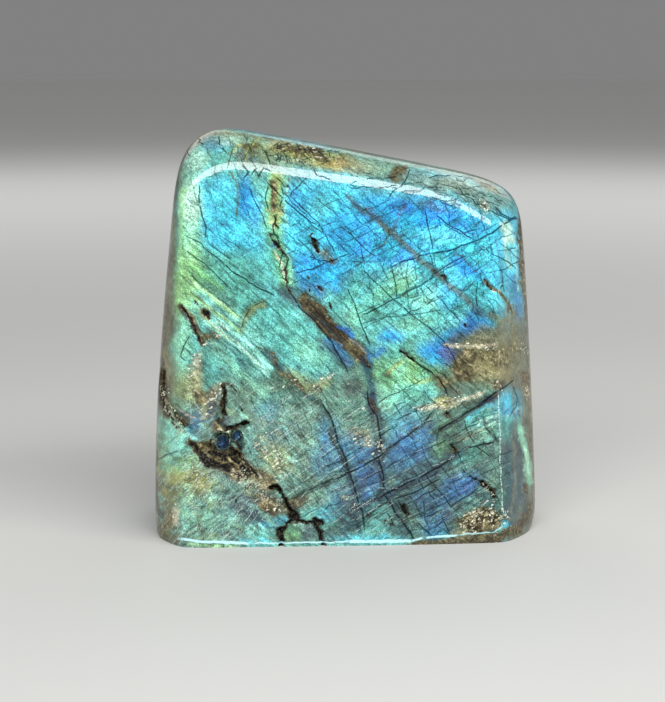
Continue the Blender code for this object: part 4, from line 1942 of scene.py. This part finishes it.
dimmed = mixed(tree, 1.0, stained, (0.1, 0.18, 0.21, 1.0), "MULTIPLY")
webbed = mixed(tree, web_mask, stained, dimmed)
cracked = mixed(tree, dark_lines, webbed, dimmed)
pit_edge = times_plus(less(crumble, 0.5), 2.2, soot_value)
pit_mask = between(tree, pit_edge, 0.5, 0.62)
lump = between(tree, noise(1700.0, 2.0)["Fac"], 0.52, 0.62)
pit_colour = mixed(tree, lump, (0.004, 0.004, 0.004, 1.0), (0.05, 0.042, 0.032, 1.0))
holed = mixed(tree, pit_mask, cracked, pit_colour)
clear = less(1.0, larger(pit_mask, times(stain_mask, 0.7)))
# Pale lines: healed cracks, and painted highlights and glints.
with_pale_marks_and_highlights = mixed(tree, times(pale_mask, clear), holed, (0.6, 0.78, 0.74, 1.0))
# Painted highlight: pale blue along the bottom edge and the far top edge.
with_pale_marks_and_highlights = mixed(tree, painted_highlight_mask, with_pale_marks_and_highlights, (0.5, 0.86, 0.92, 1.0))
glints = grouped(flakes, {
    "Vector": place, "Scale": 2300.0,
    "Amount": times(sparkle_value, 0.5)})
# Painted glints: the flake colour runs from dark gold up to near white.
flake_and_glint_colour = add_node(tree, "ShaderNodeValToRGB", {"Fac": glints["Tone"]})
flake_and_glint_colour.color_ramp.elements[0].color = (0.24, 0.22, 0.11, 1.0)
flake_and_glint_colour.color_ramp.elements[1].color = (0.9, 0.95, 0.8, 1.0)
flake_and_glint_mask = times(glints["Mask"], between(tree, sparkle_value, 0.02, 0.15))
coloured = mixed(tree, flake_and_glint_mask, with_pale_marks_and_highlights, flake_and_glint_colour.outputs["Color"])
tree.links.new(coloured, surface.inputs["Base Color"])

tree.links.new(rescaled(raw_value, 0.0, 0.6, 0.3, 0.75), surface.inputs["Roughness"])
polish = rescaled(raw_value, 0.0, 0.5, 1.0, 0.0)
all_cracks = larger(dark_lines, web_mask)
unbroken = times_plus(all_cracks, -0.85, 1.0)
worn = times_plus(between(tree, noise(1300.0, 3.0)["Fac"], 0.36, 0.5), 0.3, 0.7)
gloss = times(times(unbroken, worn), times_plus(flash_value, 0.4, 0.6))
tree.links.new(times(polish, gloss), surface.inputs["Coat Weight"])
tree.links.new(larger(times(flake_and_glint_mask, 0.35), times(foil, 0.3)), surface.inputs["Metallic"])
surface.inputs["Coat Roughness"].default_value = 0.06
surface.inputs["Coat IOR"].default_value = 1.6
surface.inputs["Specular IOR Level"].default_value = 0.12

relief = times_plus(flake_and_glint_mask, 0.5, times(all_cracks, -0.7))
relief = times_plus(times(raw_value, noise(1500.0, 4.0)["Fac"]), 1.6, relief)
bump = add_node(tree, "ShaderNodeBump", {"Strength": 0.6, "Distance": 0.0002, "Height": relief})
tree.links.new(bump.outputs["Normal"], surface.inputs["Normal"])
print(MATERIAL, "has", len(tree.nodes), "nodes")

# %% [markdown]
# The stone is one piece. It stands in for the imported solid and rides on the only body.
# Smooth shading stops at the saw cut, where the foot meets the sides at a sharp angle.

# %% Joining the frame
bpy.ops.object.select_all(action="DESELECT")
stone.select_set(True)
bpy.context.view_layer.objects.active = stone
bpy.ops.object.shade_smooth_by_angle(angle=math.radians(40))
stone.data.materials.append(finish)
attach(stone, "root")
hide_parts(NODE)
print("stone joined to the frame")

# %% [markdown]
# The stone stands on a plain pale floor that runs far out on every side, so its edge stays
# out of the way in any view. It is a matt disc that gets paler far out, where less light
# reaches it, so that it runs into the pale room without a dark band.

# %% The floor
bpy.ops.object.select_all(action="DESELECT")
bpy.ops.mesh.primitive_circle_add(vertices=96, radius=6.0, fill_type="NGON", location=(0, 0, 0))
floor = bpy.context.object
floor.name = "floor"
paper = bpy.data.materials.new("pale_floor")
paper.use_nodes = True
sheet = paper.node_tree.nodes["Principled BSDF"]
spot = add_node(paper.node_tree, "ShaderNodeTexCoord").outputs["Object"]
far_off = add_node(paper.node_tree, "ShaderNodeVectorMath", {0: spot}, operation="LENGTH").outputs["Value"]
far_share = between(paper.node_tree, far_off, 0.25, 1.3)
paper_colour = mixed(paper.node_tree, far_share, (0.5, 0.5, 0.49, 1.0), (0.97, 0.97, 0.96, 1.0))
paper.node_tree.links.new(paper_colour, sheet.inputs["Base Color"])
sheet.inputs["Roughness"].default_value = 0.9
sheet.inputs["Specular IOR Level"].default_value = 0.1
floor.data.materials.append(paper)
print("floor ready")

# %% [markdown]
# A long bar of light hangs in front, above the eye. Its reflection is the bright arc where
# the front turns into the crest. Two large soft lights behind keep the back readable, and
# the pale world fills the shadows.

# %% Light
def hang_light(name, azimuth, elevation, distance, size, power, colour=(1.0, 1.0, 1.0)):
    """An area light that points at the heart of the stone; azimuth 0 is the front."""
    way = facing(azimuth, elevation)
    centre = HEART * MM
    spot = [centre[axis] + way[axis] * distance for axis in range(3)]
    turn = (math.radians(90 - elevation), 0.0, math.radians(azimuth))
    bpy.ops.object.light_add(type="AREA", location=spot, rotation=turn)
    lamp = bpy.context.object
    lamp.name = name
    lamp.data.shape = "RECTANGLE"
    lamp.data.size, lamp.data.size_y = size
    lamp.data.energy = power
    lamp.data.color = colour
    return lamp


hang_light("key_bar", 17.5, 42, 0.75, (1.64, 0.25), 13, (0.97, 0.97, 0.95))
hang_light("soft_back_left", -150, 40, 1.3, (0.8, 0.8), 3.0)
hang_light("soft_back_right", 150, 40, 1.3, (0.8, 0.8), 3.0)
world = bpy.data.worlds.new("pale_room")
world.use_nodes = True
world.node_tree.nodes["Background"].inputs["Color"].default_value = (1.0, 1.0, 1.0, 1.0)
world.node_tree.nodes["Background"].inputs["Strength"].default_value = 0.22
bpy.context.scene.world = world
bpy.context.scene.view_settings.view_transform = "Standard"

# %% [markdown]
# The camera goes where the tracing sheet put the eye.

# %% Camera
SENSOR = 36.0
bpy.ops.object.camera_add(location=EYE * MM, rotation=(math.pi / 2 - EYE_ELEVATION, 0.0, 0.0))
camera = bpy.context.object
camera.data.sensor_width = SENSOR
camera.data.lens = SENSOR * EYE_DISTANCE / (SQUARE * SHEET_HEIGHT)
bpy.context.scene.camera = camera
print("lens", round(camera.data.lens, 2), "mm")

# %% [markdown]
# The finished piece has to stay inside the imported solid's box.

# %% Sizes
print("the piece has to stay inside the solid's box")
